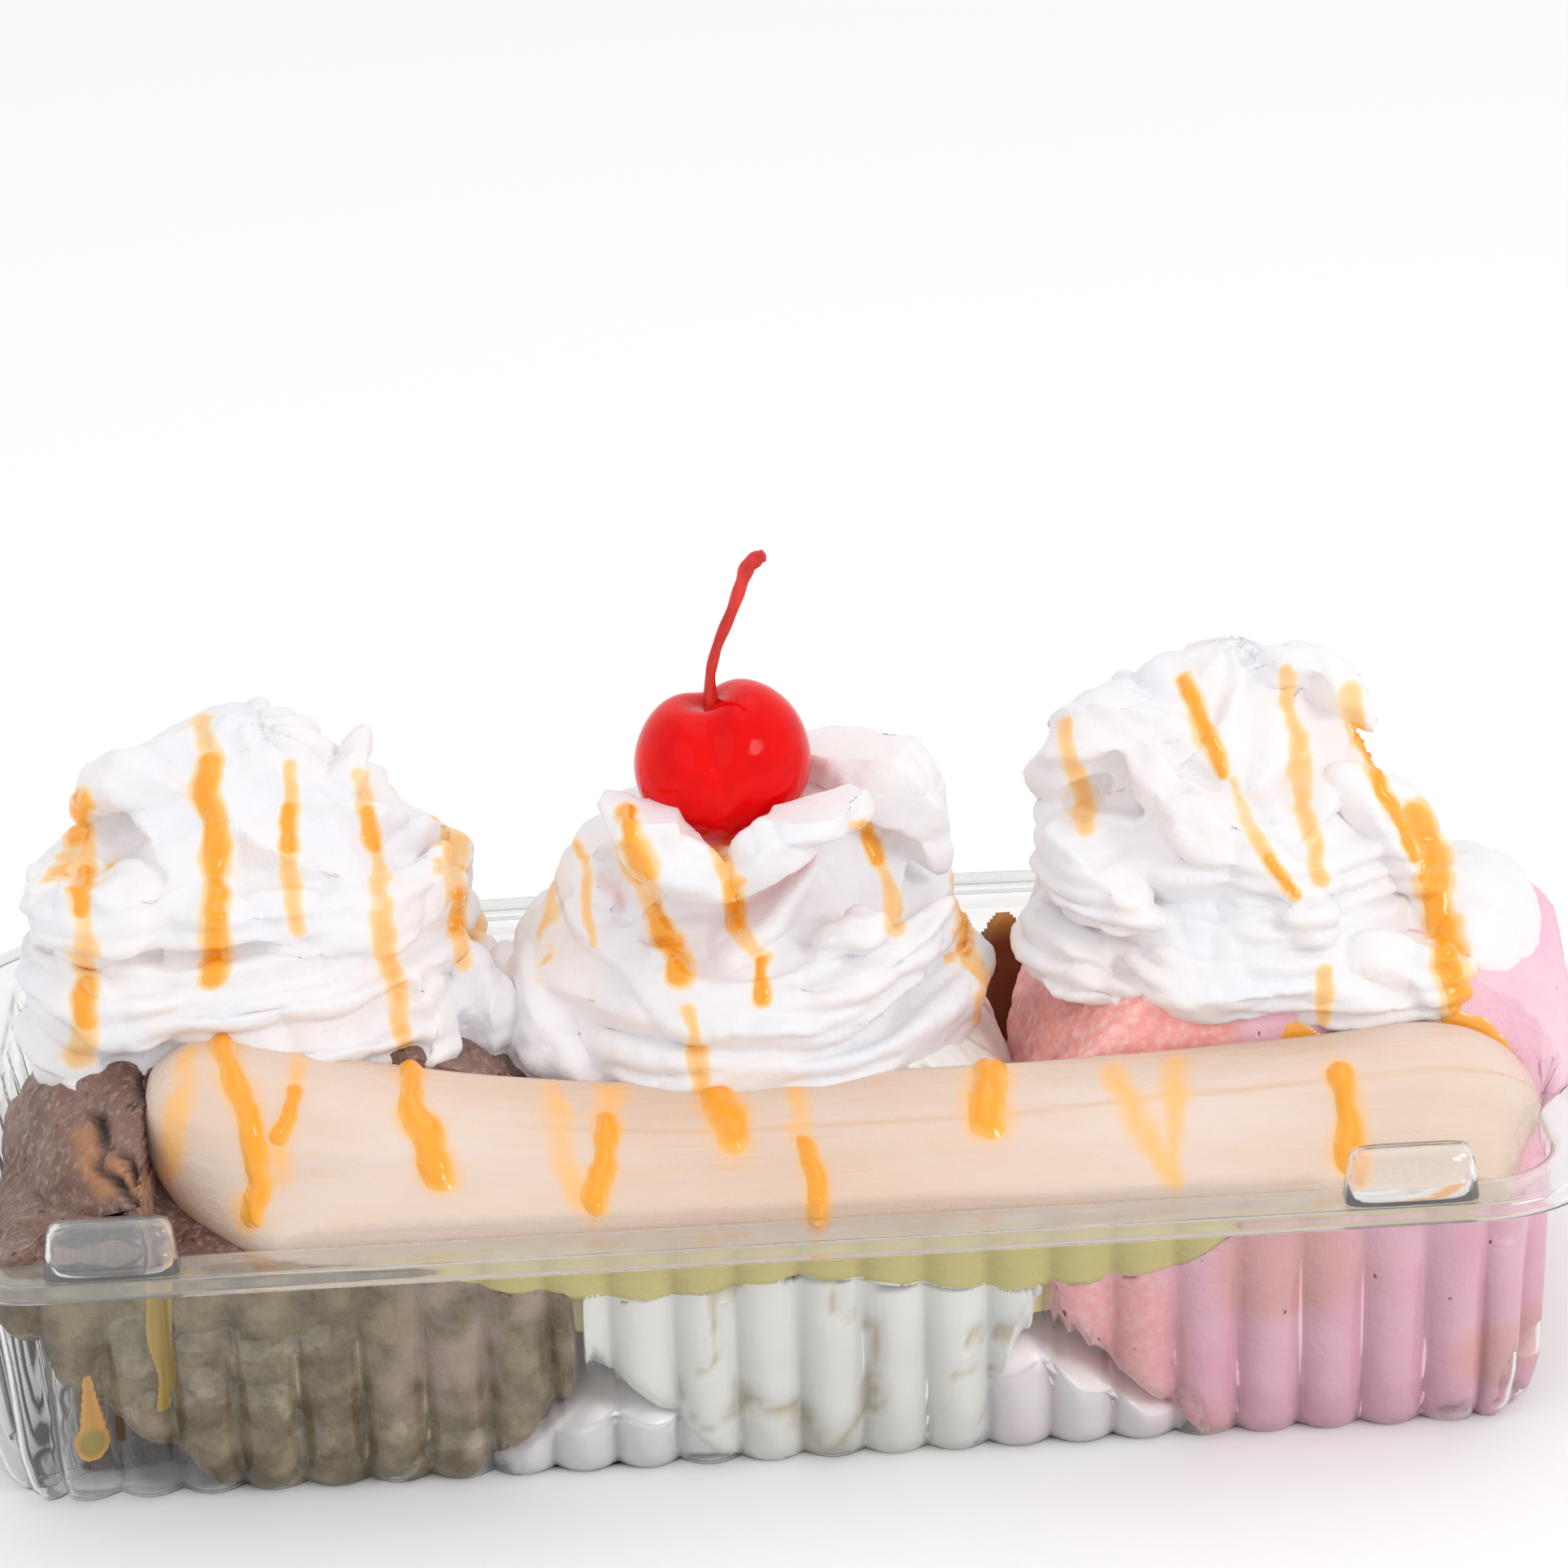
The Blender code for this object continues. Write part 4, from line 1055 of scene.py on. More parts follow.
# Strokes laid over the rope: half width, then start, bend and end from the swirl's foot centre
CREAM_STROKES = {
    "cream_left": (
        (4.4, (-21, -1, 33), (-19, -5, 44), (-5, -8, 38)),
        (3.2, (5, -8, 33), (12, -5, 35), (15, -3, 45)),
        (6.0, (-27, -6, 30), (-21, -20, 22), (-6, -18, 31)),
        (6.0, (-28, -6, 19), (-22, -25, 13), (-6, -24, 19)),
        (5.5, (2, -19, 27), (16, -19, 19), (24, -6, 30)),
        (4.6, (14, -16, 20), (23, -18, 13), (20, -23, 1)),
        (4.6, (24, -8, 18), (30, -13, 10), (27, -15, 0)),
        (5.5, (-29, -4, 13), (-26, -17, 8), (-15, -25, 6)),
    ),
    "cream_middle": (
        (5.4, (-17, -12, 42), (-12, -30, 43), (-2.5, -25, 34)),
        (5.2, (-2.5, -24, 34), (6, -31, 47), (15, -15, 41)),
        (6.4, (3, 0, 41), (20, -7, 46), (24, -7, 27)),
        (6.0, (-23, -8, 27), (0, -39, 8), (25, -12, 26)),
        (5.0, (-27, -2, 18), (-29, -15, 12), (-18, -23, 5)),
        (3.0, (6, -22, 23), (14, -26, 31), (17, -18, 23)),
        (5.0, (-30, 2, 16), (-33, -9, 12), (-24, -17, 3)),
    ),
    "cream_right": (
        (6.0, (-19, -2, 24), (-25, -6, 39), (-5, -9, 37)),
        (5.0, (-14, -8, 37), (-7, -22, 25), (11, -20, 20)),
        (4.0, (1, -5, 42), (13, -5, 46), (18, -4, 32)),
        (5.5, (-22, -2, 25), (-23, -17, 20), (-11, -21, 16)),
        (6.0, (-23, 0, 12), (-25.5, -14, 8), (-13, -23, 7)),
        (5.0, (-15, -20, 12), (-5, -27, 6), (9, -24, 10)),
        (6.0, (2, -22, 9), (15, -26, 3), (26, -16, 5)),
        (3.4, (2, -19, 23), (8, -24, 18), (8, -21, 8)),
        (5.0, (11, -12, 31), (23, -14, 24), (25, -9, 9)),
        (5.5, (10, -22, 10), (21, -23, 10), (27, -18, 2)),
    ),
}
GROOVE_PITCH = 3.0
GROOVE_DEPTH = 1.1
DOLLOP = ((90.0, -5.0, 46.5), (10.5, 12.0, 14.0))
# Sauce runs: depth, half width, and places (x, z) on an upright plane through the swirl's middle
CREAM_STRIPES = {  # as for the banana
    "cream_left": (
        (-65, -66, 84, 50, 1.8, 0.5),
        (-81, -84, 75, 40, 1.6, 0.4),
        (-55, -56, 78, 56, 1.0, 0.1),
        (-46, -44, 76, 38, 1.2, 0.4),
        (-36, -35, 69, 50, 1.1, 0.5),
    ),
    "cream_middle": (
        (-14, -8, 70, 47, 1.5, 0.6),
        (-3, 3, 64, 43, 1.3, 0.5),
        (-20, -18, 66, 52, 0.7, 0.0),
        (16, 20, 66, 52, 1.0, 0.6),
        (27, 31, 58, 34, 1.0, 0.1),
        (-7, -6, 42, 31, 1.2, 0.4),
    ),
    "cream_right": (
        (57, 61, 82, 69, 1.5, 0.6),
        (62, 70, 68, 52, 1.0, 0.7),
        (69, 73, 83, 54, 1.0, 0.0),
        (42, 44, 77, 63, 1.1, 0.1),
        (77, 86, 79, 56, 1.1, 0.5),
        (86, 92, 62, 34, 2.1, 1.0),
        (75, 74, 41, 34, 1.1, 0.1),
    ),
}
CREAM_RUNS = {name: broken_runs(CREAM_STRIPES[name], 60 + len(name)) for name in CREAM_STRIPES}


def guide(name, theta, h):
    """The swirl's outer reach: its foot radius times (1 - h^2)^0.66, less a tuck at the foot, plus
    each lobe's bell curves round it and up it."""
    radius = CREAM_PLACES[name][1]
    reach = radius * (1 - np.clip(h, 0, 1) ** 2) ** 0.66 * (1 - 0.20 * np.clip(1 - h / 0.16, 0, 1) ** 2)
    for direction, height, out, width, tall in CREAM_LOBES[name]:
        aside = np.angle(np.exp(1j * (theta - math.radians(direction))))
        reach = reach + out * bell(aside, width) * bell(h - height, tall)
    return reach


def rope_points(name, foot, top, seed, rows=460, columns=70):
    """A flattened rope with seven sharp ridges, wound upwards: at share t its middle stands about
    one rope's half width inside the guide, and it climbs in proportion to t^1.1."""
    turns, start, sense, end, _ = CREAM_TURNS[name]
    (cx, cy), _ = CREAM_PLACES[name]
    t = np.linspace(0, 1, rows)[:, None]
    psi = 2 * np.pi * np.arange(columns)[None, :] / columns
    theta = math.radians(start) + sense * 2 * np.pi * turns * t
    ends = np.sqrt(np.clip(1 - (1 - np.clip(t * 12, 0, 1)) ** 2, 0.0002, 1))
    ends = ends * np.sqrt(np.clip((1 - t) * 9, 0.0002, 1))
    path = np.concatenate((t * 90, 0 * t, 0 * t), axis=-1)
    uneven = noise(path, 6.0, seed)[:, None]
    swell = 1 + 0.12 * noise(path, 4.0, seed + 4)[:, None]
    wide = (ROPE_WIDE[0] + (ROPE_WIDE[1] - ROPE_WIDE[0]) * t) * ends * swell
    tall = (ROPE_TALL[0] + (ROPE_TALL[1] - ROPE_TALL[0]) * t) * ends * swell
    z = foot + ROPE_TALL[0] * 0.82 + ((top - foot) * end - ROPE_TALL[0] * 0.82) * t ** 1.1 + 0.8 * uneven
    h = (z - foot) / (top - foot)
    ridges = 1 - 0.16 * np.abs(np.sin(3.5 * psi + 5.0 * t * turns + 0.8 * uneven)) ** 0.8
    rho = np.clip(guide(name, theta, h) - wide * 0.95 + 0.8 * uneven, 0.0, None)
    out = rho + wide * ridges * np.cos(psi)
    up = z + tall * ridges * np.sin(psi)
    return np.stack((cx + out * np.cos(theta), cy + out * np.sin(theta), up), axis=-1)


def crown_points(name, foot, top, seed, rows=150, columns=210):
    """The core and the crown. Below, the core stands well inside the guide. From the rope's end up
    it is the guide itself, cut into sharp ridges by |sin| of three and a half times the direction
    plus the twist times the height."""
    _, _, _, end, twist = CREAM_TURNS[name]
    (cx, cy), _ = CREAM_PLACES[name]
    h, theta = np.meshgrid(np.linspace(0.0, 0.995, rows), 2 * np.pi * np.arange(columns) / columns,
                           indexing="ij")
    around = np.stack((np.cos(theta) * 20, np.sin(theta) * 20, h * 45), axis=-1)
    uneven = fractal(around, 12.0, 2, seed + 9)
    upper = step(end - 0.22, end - 0.04, h)
    groove = np.abs(np.sin(3.5 * theta + twist * h + 0.45 * uneven)) ** 0.9
    reach = guide(name, theta, h)
    cut = (0.17 + 0.05 * uneven) * groove * np.minimum(reach, 22.0) + 0.6
    reach = upper * (reach - cut) + (1 - upper) * (reach - 7.0 + 1.2 * uneven)
    reach = np.clip(reach, 0.3, None)
    points = np.stack((cx + reach * np.cos(theta), cy + reach * np.sin(theta), foot + h * (top - foot)),
                      axis=-1)
    return points[::-1]


def stroke_points(thick, start, bend, end, seed, rows=80, columns=50):
    """A stroke drawn along a bent line, (1 - t)^2 start + 2t(1 - t) bend + t^2 end. Its half width
    goes as sin(pi t)^0.55, cut by five sharp ridges that turn as it goes."""
    t = np.linspace(0.004, 0.996, rows)[:, None]
    line = (1 - t) ** 2 * np.array(start) + 2 * t * (1 - t) * np.array(bend) + t ** 2 * np.array(end)
    ahead = np.gradient(line, axis=0)
    ahead /= np.linalg.norm(ahead, axis=1, keepdims=True)
    side = np.cross(ahead, (0.15, 0.25, 1.0))
    side /= np.linalg.norm(side, axis=1, keepdims=True)
    other = np.cross(side, ahead)
    psi = 2 * np.pi * np.arange(columns)[None, :] / columns
    uneven = noise(np.concatenate((t * 30, 0 * t, 0 * t), axis=1), 5.0, seed)[:, None]
    ridges = 1 - 0.20 * np.abs(np.sin(2.5 * psi + 2.0 * t + uneven)) ** 0.8
    radius = thick * np.sin(np.pi * t) ** 0.55 * ridges * (1 + 0.12 * uneven)
    ring = np.cos(psi)[..., None] * side[:, None] + np.sin(psi)[..., None] * other[:, None]
    return line[:, None] + ring * radius[..., None]


def cream_skin(name, seed):
    """The swirl's skin: rope, crown and strokes merged into one closed surface and eased."""
    low, high = node_box(name)
    foot, top = low[2], high[2]
    (cx, cy), _ = CREAM_PLACES[name]
    rope = rope_points(name, foot, top, seed)
    if CREAM_TURNS[name][2] > 0:
        rope = rope[:, ::-1]
    parts = [rope, crown_points(name, foot, top, seed)]
    for number, (thick, *path) in enumerate(CREAM_STROKES[name]):
        stroke = stroke_points(thick, *path, seed + number)
        parts.append(stroke + (cx, cy, foot))
    if name == "cream_right":
        way = ball_directions(60, 90)
        parts.append(DOLLOP[0] + way * DOLLOP[1] * (1 + 0.05 * noise(way, 0.9, seed))[..., None])
    points, faces, total = [], [], 0
    for grid in parts:
        points += [grid[:1].mean(axis=1), grid.reshape(-1, 3), grid[-1:].mean(axis=1)]
        faces += [face + total for face in ball_faces(*grid.shape[:2])]
        total += 2 + grid.shape[0] * grid.shape[1]
    working = temporary(mesh_from(name, np.concatenate(points), faces))
    skin = working.modifiers.new("skin", "REMESH")
    skin.mode = "VOXEL"
    skin.voxel_size = bpy.context.scene.split_cream.voxel
    ease = working.modifiers.new("ease", "SMOOTH")
    ease.factor = 0.5
    ease.iterations = bpy.context.scene.split_cream.easing
    mesh = evaluated(working)
    mesh.shade_smooth()
    return mesh


class SPLIT_OT_cream(bpy.types.Operator):
    """Whipped cream swirls: a ridged rope wound up on each scoop, with the caramel on them"""

    bl_idname = "split.cream"
    bl_label = "Whipped cream"

    def execute(self, context):
        finish = whipped_cream()
        for seed, name in enumerate(CREAM_PLACES):
            mesh = cream_skin(name, 100 + 20 * seed)
            self.settle(name, mesh, 100 + 20 * seed)
            depth, stain = self.sauce(name, mesh, 100 + 20 * seed)
            set_attribute(mesh, "stain", stain)
            piece = show(name + "_swirl", mesh, finish, (name,))
            sauce_shell(name.replace("cream", "caramel_on_cream"), piece.data, depth)
        return {"FINISHED"}

    def settle(self, name, mesh, seed):
        """Relief along the normals: puffs with sharp creases between them, from the size of a
        warped noise, and finer ones on those."""
        points, normals = mesh_points(mesh)
        low, high = node_box(name)
        warp = np.stack([noise(points, 14.0, seed + k) for k in (11, 12, 13)], axis=-1)
        slant = CREAM_TURNS[name][2] * 0.5
        leaned = points + warp * 3.5
        leaned = leaned * (0.75, 1.0, 1.25) + leaned[:, :1] * (0.0, 0.0, -slant)
        puffs = np.abs(noise(leaned, 9.5, seed + 2)) ** 0.8
        small = np.abs(noise(leaned, 4.2, seed + 3)) ** 0.8
        lift = 2.2 * (puffs - 0.35) + 0.4 * (small - 0.35) + 0.10 * fractal(points, 1.6, 2, seed + 5)
        lift += self.grooves(name, points + warp * 1.2, low[2], high[2], seed)
        inside = step(0.0, 4.0, points[:, 2] - low[2] + 2.0)
        points = points + normals * (lift * inside)[:, None]
        points[:, 2] = np.clip(points[:, 2], low[2] - 2.0, high[2])
        move_points(mesh, points)

    def grooves(self, name, points, foot, top, seed):
        """The star nozzle's lines, |sine| ridges in patches: along the climbing rope below, and
        up the twisted crown above."""
        (cx, cy), _ = CREAM_PLACES[name]
        turns, _, sense, ends, twist = CREAM_TURNS[name]
        theta = np.arctan2(points[:, 1] - cy, points[:, 0] - cx)
        height = points[:, 2] - foot
        climb = ends * (top - foot) / turns
        pitch = climb / round(climb / GROOVE_PITCH)
        rope = np.abs(np.sin(np.pi * (height - sense * climb * theta / (2 * np.pi)) / pitch))
        crown = np.abs(np.sin(6.0 * theta + np.sign(twist) * height / 5.0))
        ridge = rope + (crown - rope) * step(ends - 0.12, ends + 0.08, height / (top - foot))
        patch = step(-0.35, 0.3, noise(points, 11.0, seed + 41))
        return GROOVE_DEPTH * (ridge - 0.65) * patch

    def sauce(self, name, mesh, seed):
        """Sauce on the swirl: its own runs in front, and drawn ones behind."""
        (cx, cy), radius = CREAM_PLACES[name]
        low, high = node_box(name)
        rng = np.random.default_rng(seed)
        rear = []
        for x in cx + radius * np.linspace(-0.75, 0.75, 7):
            path = np.array((x, low[2] + rng.uniform(0.5, 0.95) * (high[2] - low[2])))
            for _ in range(3):
                after = path + (rng.uniform(-2.5, 2.5), -rng.uniform(4, 11))
                rear.append((rng.uniform(0.2, 0.85), rng.uniform(0.8, 1.7), (tuple(path), tuple(after))))
                path = after
        eye = camera_view()[0]
        behind = eye * (1, -1, 1) + (0, 2 * cy, 0)
        sources = ((eye, cy, CREAM_RUNS[name]), (behind, cy, rear))
        return poured(*mesh_points(mesh), sources, seed + 6, 0.95)


# ----------------------------------------------------------------------------------------- cherry

CHERRY_CENTRE = (-1.6, -12.0, 81.0)
CHERRY_RADIUS = 10.8
CHERRY_TILT = math.radians(-12.0)
STEM_FOOT = (-2.7, -12.0, 89.2)
STEM_ROUTE = ((0, 0, -1.0), (0.1, 0, 3.4), (1.2, 0.3, 7.0), (3.2, 0.5, 11.2), (4.5, 0.3, 14.8),
              (5.2, 0.1, 16.8), (6.5, 0.0, 17.9), (7.5, 0.0, 18.2))
STEM_SWELL = (1.25, 0.85, 0.9, 1.0, 1.1, 1.3, 1.25, 0.9)
STEM_RADIUS = 0.75


class SPLIT_OT_cherry(bpy.types.Operator):
    """Cherry with a dimple and a crease, and its stalk"""

    bl_idname = "split.cherry"
    bl_label = "Cherry and stalk"

    def execute(self, context):
        rows, columns = 90, 140
        way = ball_directions(rows, columns)
        polar = np.arccos(np.clip(way[..., 2], -1, 1))
        crease = bell(np.arctan2(way[..., 0], np.abs(way[..., 2]) + 0.05), 0.30)
        crease = crease * np.clip(way[..., 2] + 0.25, 0, 1)
        dimple = bell(polar, 0.36)
        radius = CHERRY_RADIUS * (1 - 0.15 * dimple - 0.12 * crease)
        radius = radius * (1 + 0.05 * np.clip(way[..., 0], 0, 1) * np.clip(way[..., 2], 0, 1))
        local = way * radius[..., None] * (1.0, 1.0, 0.95)
        cos, sin = math.cos(CHERRY_TILT), math.sin(CHERRY_TILT)
        turned = np.stack((local[..., 0] * cos + local[..., 2] * sin, local[..., 1],
                           local[..., 2] * cos - local[..., 0] * sin), axis=-1)
        points = turned + CHERRY_CENTRE
        ends = np.stack((points[0].mean(axis=0), points[-1].mean(axis=0)))
        everything = np.concatenate((ends[:1], points.reshape(-1, 3), ends[1:]))
        mesh = mesh_from("cherry_fruit", everything, ball_faces(rows, columns))
        set_attribute(mesh, "dimple", np.concatenate(((1.0,), dimple.ravel(), (0.0,))))
        show("cherry_fruit", mesh, cherry_skin(), ("cherry",))
        self.stalk()
        return {"FINISHED"}

    def stalk(self, rows=90, columns=20):
        """A tube along a smooth line through the stalk's points, thicker at its foot and knob."""
        t = np.linspace(0, 1, rows)
        known = np.linspace(0, 1, len(STEM_ROUTE))
        route = np.array(STEM_ROUTE) + STEM_FOOT
        line = np.stack([np.interp(t, known, route[:, k]) for k in range(3)], axis=-1)
        swell = np.interp(t, known, STEM_SWELL)
        kernel = np.hanning(15) / np.hanning(15).sum()
        padded = np.pad(line, ((7, 7), (0, 0)), mode="reflect", reflect_type="odd")
        line = np.stack([np.convolve(padded[:, k], kernel, mode="valid") for k in range(3)], axis=-1)
        ahead = np.gradient(line, axis=0)
        ahead /= np.linalg.norm(ahead, axis=-1, keepdims=True)
        side = np.cross(ahead, (0.0, 1.0, 0.0))
        side /= np.linalg.norm(side, axis=-1, keepdims=True)
        other = np.cross(ahead, side)
        angle = 2 * np.pi * np.arange(columns) / columns
        radius = STEM_RADIUS * swell * (1 + 0.06 * np.sin(t * 40)) * np.sqrt(np.clip((1.003 - t) * 28, 0, 1))
        ring = np.cos(angle)[None, :, None] * side[:, None] + np.sin(angle)[None, :, None] * other[:, None]
        points = line[:, None] + ring * radius[:, None, None]
        everything = np.concatenate((line[:1], points.reshape(-1, 3), line[-1:]))
        mesh = mesh_from("cherry_stalk", everything, ball_faces(rows, columns))
        show("cherry_stalk", mesh, cherry_stalk(), ("cherry_stem",))


# ------------------------------------------------------------------------------------ other sauce


class SPLIT_OT_wall_sauce(bpy.types.Operator):
    """Caramel on the tray's inside: a film on the rear wall, a streak and a hanging drop in front"""

    bl_idname = "split.wall_sauce"
    bl_label = "Caramel on the wall"

    def execute(self, context):
        rear = OUTLINE / 2
        self.film("caramel_rear_film", (rear - 56.0, rear + 50.0), (1.5, 33.5), self.rear_depth, 1.0)
        self.film("caramel_streak", (-78.0, -67.0), (10.0, 32.5), self.streak_depth, 0.0, (0.6, 0.8))
        self.film("caramel_drop", (-89.0, -75.0), (5.0, 22.0), self.drop_depth, 0.0, (0.3, 0.9))
        return {"FINISHED"}

    def film(self, name, run, heights, depth_of, dark, olive=(0.0, 0.0)):
        """A closed film on the wall's inner face: outer skin just inside the wall, inner skin one
        thickness further in, where the thickness is a function of place along and height. Its
        olive tint goes from the first given share at the rim to the second in the middle."""
        sheet = bpy.context.scene.split_tray.sheet / MM
        spacing = 0.16 if run[1] - run[0] < 20.0 else 0.4
        columns = int((run[1] - run[0]) / spacing) + 2
        rows = int((heights[1] - heights[0]) / spacing) + 2
        z, s = np.meshgrid(np.linspace(*heights, rows), np.linspace(*run, columns), indexing="ij")
        core, way = outline_run(s)
        depth = depth_of(s, z)
        skins = []
        for inset in (-0.22 + 0 * depth, np.clip(depth, 0.0, None)):
            radius = wall_radius(s, z) - sheet - inset
            skins.append(bowed(np.concatenate((core + way * radius[..., None], z[..., None]), axis=-1)))
        count = rows * columns
        inner = grid_faces(rows, columns, closed=False)
        outer = grid_faces(rows, columns, closed=False, flip=True)
        flat = depth.ravel()
        keep = (flat[inner] > 0).any(axis=1)
        faces = [outer[keep], inner[keep] + count]
        used, renumbered = np.unique(np.concatenate(faces), return_inverse=True)
        points = np.concatenate([skin.reshape(-1, 3) for skin in skins])[used]
        mesh = mesh_from(name, points, [renumbered.reshape(-1, 4)])
        thick = np.concatenate((flat, flat))[used]
        set_attribute(mesh, "depth", np.clip(thick, 0, None))
        set_attribute(mesh, "dark", dark * step(heights[1] + 3.0, heights[1] - 5.0, points[:, 2]))
        middle = step(0.2, 0.75, thick / thick.max())
        set_attribute(mesh, "olive", olive[0] + (olive[1] - olive[0]) * middle)
        show(name, mesh, bpy.data.materials["caramel_sauce_poured"])

    def rear_depth(self, s, z):
        place = np.stack((s, z, 0 * s), axis=-1)
        x = OUTLINE / 2 - s + 2.0 * fractal(place, 8.0, 3, 14)
        pools = 31.0 * bell(x - 34.5, 12.0) + 24.0 * bell(x + 22.5, 9.0)
        edge = pools + 2.0 * fractal(place, 9.0, 3, 4)
        return 1.4 * np.sqrt(np.clip((edge - z) / 12.0, 0, 1)) - 0.02

    def streak_depth(self, s, z):
        wander = 0.5 * noise(np.stack((z, 0 * z, 0 * z), axis=-1), 6.0, 8)
        width = 0.8 + 0.7 * step(13.0, 26.0, z)
        return run_depth(np.hypot(s + 73.6 - 0.05 * z + wander, np.clip(14.0 - z, 0, None)), width, 0.35)

    def drop_depth(self, s, z):
        belly = np.hypot(s + 82.2, (z - 9.6) / 1.25)
        neck = np.hypot(s + 82.0, np.clip(z - 18.5, 0, None) + np.clip(10.0 - z, 0, None))
        width = 0.45 + 0.95 * step(19.0, 10.0, z)
        return np.maximum(run_depth(belly, 1.9, 1.4), run_depth(neck, width, 0.6))


class SPLIT_OT_droplets(bpy.types.Operator):
    """Condensed droplets on the tray's front-left corner"""

    bl_idname = "split.droplets"
    bl_label = "Droplets"

    def execute(self, context):
        rng = np.random.default_rng(9)
        points, faces, total = [], [], 0
        rows, columns = 8, 16
        for _ in range(26):
            s = rng.uniform(-118.0, -96.0)
            z = rng.uniform(6.0, 28.0)
            size = rng.uniform(0.25, 0.8)
            core, way = outline_run(np.array([s]))
            radius = wall_radius(np.array([s]), np.array([z])) + 0.1 * size
            centre = np.array([*(core + way * radius[:, None])[0], z])
            drop = centre + ball_directions(rows, columns) * size * (0.9, 0.9, 1.1)
            points += [drop[:1].mean(axis=1), drop.reshape(-1, 3), drop[-1:].mean(axis=1)]
            faces += [face + total for face in ball_faces(rows, columns)]
            total += 2 + rows * columns
        mesh = mesh_from("droplets", np.concatenate(points), faces)
        drops = show("droplets", mesh, clear_water())
        drops.visible_shadow = False
        return {"FINISHED"}


# ------------------------------------------------------------------------------------------ stage


class SPLIT_OT_stage(bpy.types.Operator):
    """Pale floor, soft studio light and the camera"""

    bl_idname = "split.stage"
    bl_label = "Stage"

    def execute(self, context):
        scene = context.scene
        self.floor()
        self.camera(scene)
        settings = scene.split_stage
        world = bpy.data.worlds.new("studio")
        world.use_nodes = True
        background = world.node_tree.nodes["Background"]
        background.inputs["Color"].default_value = (1.0, 1.0, 1.0, 1.0)
        background.inputs["Strength"].default_value = settings.ambient
        scene.world = world
        scene.view_settings.view_transform = "Standard"
        # Name, direction in degrees round from the front, elevation, distance, size, power
        for name, azimuth, elevation, distance, size, power in (
            ("key", 48.0, 34.0, 1.0, 0.35, settings.key),
            ("fill", -55.0, 40.0, 1.1, 0.9, settings.fill),
            ("top", 160.0, 70.0, 1.1, 0.9, settings.top),
        ):
            self.light(name, azimuth, elevation, distance, size, power)
        return {"FINISHED"}

    def floor(self):
        half = 30.0
        corners = [(-half, -half, 0), (half, -half, 0), (half, half, 0), (-half, half, 0)]
        mesh = bpy.data.meshes.new("floor")
        mesh.from_pydata(corners, [], [(0, 1, 2, 3)])
        floor = bpy.data.objects.new("floor", mesh)
        bpy.context.scene.collection.objects.link(floor)
        made, tree, shader = new_material("white_paper_sweep")
        colour_of(shader, tree, mix(tree, pattern(tree, 400.0), linear("fdfdfd"), linear("fbfbfb")))
        shader.inputs["Roughness"].default_value = 0.9
        shader.inputs["Specular IOR Level"].default_value = 0.1
        mesh.materials.append(made)

    def light(self, name, azimuth, elevation, distance, size, power):
        data = bpy.data.lights.new(name, "AREA")
        data.shape = "DISK"
        data.size = size
        data.energy = power
        lamp = bpy.data.objects.new(name, data)
        a, e = math.radians(azimuth), math.radians(elevation)
        lamp.location = (distance * math.sin(a) * math.cos(e), -distance * math.cos(a) * math.cos(e),
                         0.04 + distance * math.sin(e))
        lamp.rotation_euler = (math.pi / 2 - e, 0.0, a)
        bpy.context.scene.collection.objects.link(lamp)

    def camera(self, scene):
        """The camera looks down 22 degrees from 0.65 m, turned 1.6 degrees and rolled 2.6."""
        settings = scene.split_stage
        data = bpy.data.cameras.new("camera")
        data.lens = settings.lens
        data.sensor_width = 36.0
        camera = bpy.data.objects.new("camera", data)
        scene.collection.objects.link(camera)
        place, right, up, ahead = camera_view()
        matrix = np.eye(4)
        matrix[:3, 0], matrix[:3, 1], matrix[:3, 2], matrix[:3, 3] = right, up, -ahead, placed(place)
        camera.matrix_world = Matrix(matrix.tolist())
        data.clip_start = 0.01
        scene.camera = camera


# -------------------------------------------------------------------------------- settings, panel


def colour_property(name, description, code):
    return bpy.props.FloatVectorProperty(name=name, description=description, subtype="COLOR", size=3,
                                         min=0.0, max=1.0, default=linear(code))


class SplitTray(bpy.types.PropertyGroup):
    """Sizes of the clear tray"""

    sheet: bpy.props.FloatProperty(name="Sheet", description="Thickness of the clear sheet",
                                   default=0.00045, min=0.0002, max=0.0008, unit="LENGTH", precision=5)


class SplitCream(bpy.types.PropertyGroup):
    """Whipped cream"""

    voxel: bpy.props.FloatProperty(name="Fineness", description="Size of the skin's cells",
                                   default=0.00052, min=0.0004, max=0.002, unit="LENGTH", precision=5)
    easing: bpy.props.IntProperty(name="Softness", description="How often the skin is eased",
                                  default=2, min=0, max=40)
    cool: colour_property("Cool", "Colour of the cream in its cooler patches", "ececf1")
    warm: colour_property("Warm", "Colour of the cream in its warmer patches", "f3eded")


class SplitBanana(bpy.types.PropertyGroup):
    """Banana colours"""

    flesh: colour_property("Flesh", "Colour of the fresh flesh", "e6d2c5")
    tan: colour_property("Tan", "Colour of the flesh in its darker patches", "dfc4af")
    # Partly painted shade: the flange's shadow on the flesh below the rim.
    underside_and_flange_shade: colour_property("Underside", "Colour of the flesh against the wall", "ddd08c")


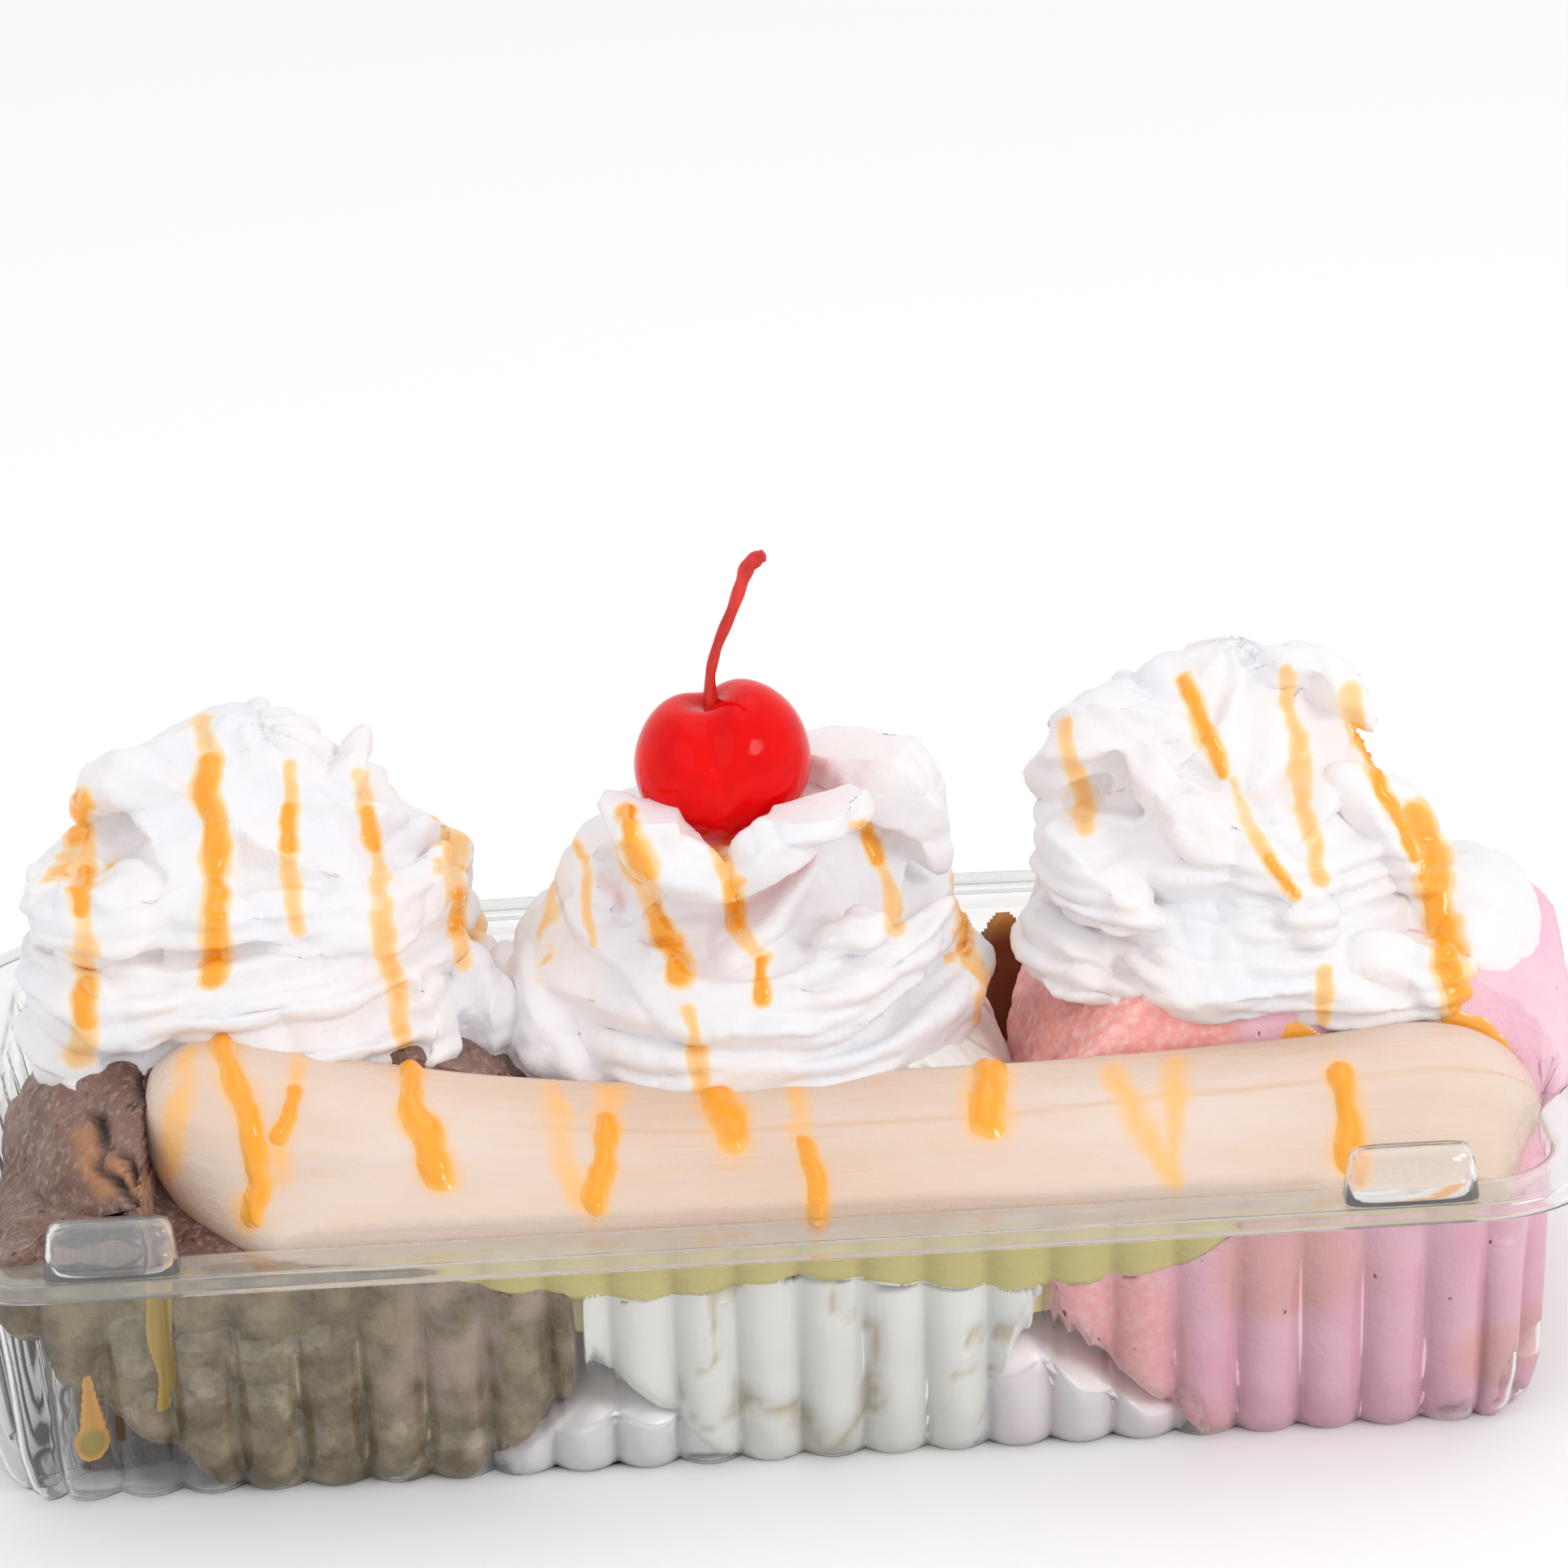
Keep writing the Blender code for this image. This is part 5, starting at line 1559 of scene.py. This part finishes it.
class SplitStage(bpy.types.PropertyGroup):
    """Camera and light"""

    lens: bpy.props.FloatProperty(name="Lens", description="Focal length in millimetres", default=120.1,
                                  min=20.0, max=300.0)
    distance: bpy.props.FloatProperty(name="Distance", description="From the camera to its target",
                                      default=0.65, min=0.3, max=3.0, unit="LENGTH")
    ambient: bpy.props.FloatProperty(name="Ambient", description="Strength of the even light",
                                     default=0.88, min=0.0, max=3.0)
    key: bpy.props.FloatProperty(name="Key", description="Power of the key light", default=2.0, min=0.0,
                                 max=100.0, unit="POWER")
    fill: bpy.props.FloatProperty(name="Fill", description="Power of the fill light", default=0.8, min=0.0,
                                  max=100.0, unit="POWER")
    top: bpy.props.FloatProperty(name="Top", description="Power of the light above and behind",
                                 default=1.0, min=0.0, max=100.0, unit="POWER")


class SPLIT_PT_panel(bpy.types.Panel):
    """Lists the pieces and their settings"""

    bl_idname = "SPLIT_PT_panel"
    bl_label = "Banana Split"
    bl_space_type = "VIEW_3D"
    bl_region_type = "UI"
    bl_category = "Banana Split"

    def draw(self, context):
        for group in GROUPS:
            settings = getattr(context.scene, group)
            box = self.layout.box()
            for name in settings.bl_rna.properties.keys():
                if name not in ("rna_type", "name"):
                    box.prop(settings, name)
        for operator in OPERATORS:
            self.layout.operator(operator.bl_idname)


GROUPS = {
    "split_tray": SplitTray,
    "split_cream": SplitCream,
    "split_banana": SplitBanana,
    "split_stage": SplitStage,
}
OPERATORS = (
    SPLIT_OT_tray,
    SPLIT_OT_banana,
    SPLIT_OT_scoops,
    SPLIT_OT_melt,
    SPLIT_OT_cream,
    SPLIT_OT_cherry,
    SPLIT_OT_wall_sauce,
    SPLIT_OT_droplets,
    SPLIT_OT_stage,
)


def register():
    for cls in (*GROUPS.values(), *OPERATORS, SPLIT_PT_panel):
        bpy.utils.register_class(cls)
    for name, cls in GROUPS.items():
        setattr(bpy.types.Scene, name, bpy.props.PointerProperty(type=cls))


def unregister():
    for name in GROUPS:
        delattr(bpy.types.Scene, name)
    for cls in reversed((*GROUPS.values(), *OPERATORS, SPLIT_PT_panel)):
        bpy.utils.unregister_class(cls)


def main():
    register()
    caramel_sauce()
    for operator in OPERATORS:
        area, action = operator.bl_idname.split(".")
        getattr(getattr(bpy.ops, area), action)()


if __name__ == "__main__":
    main()
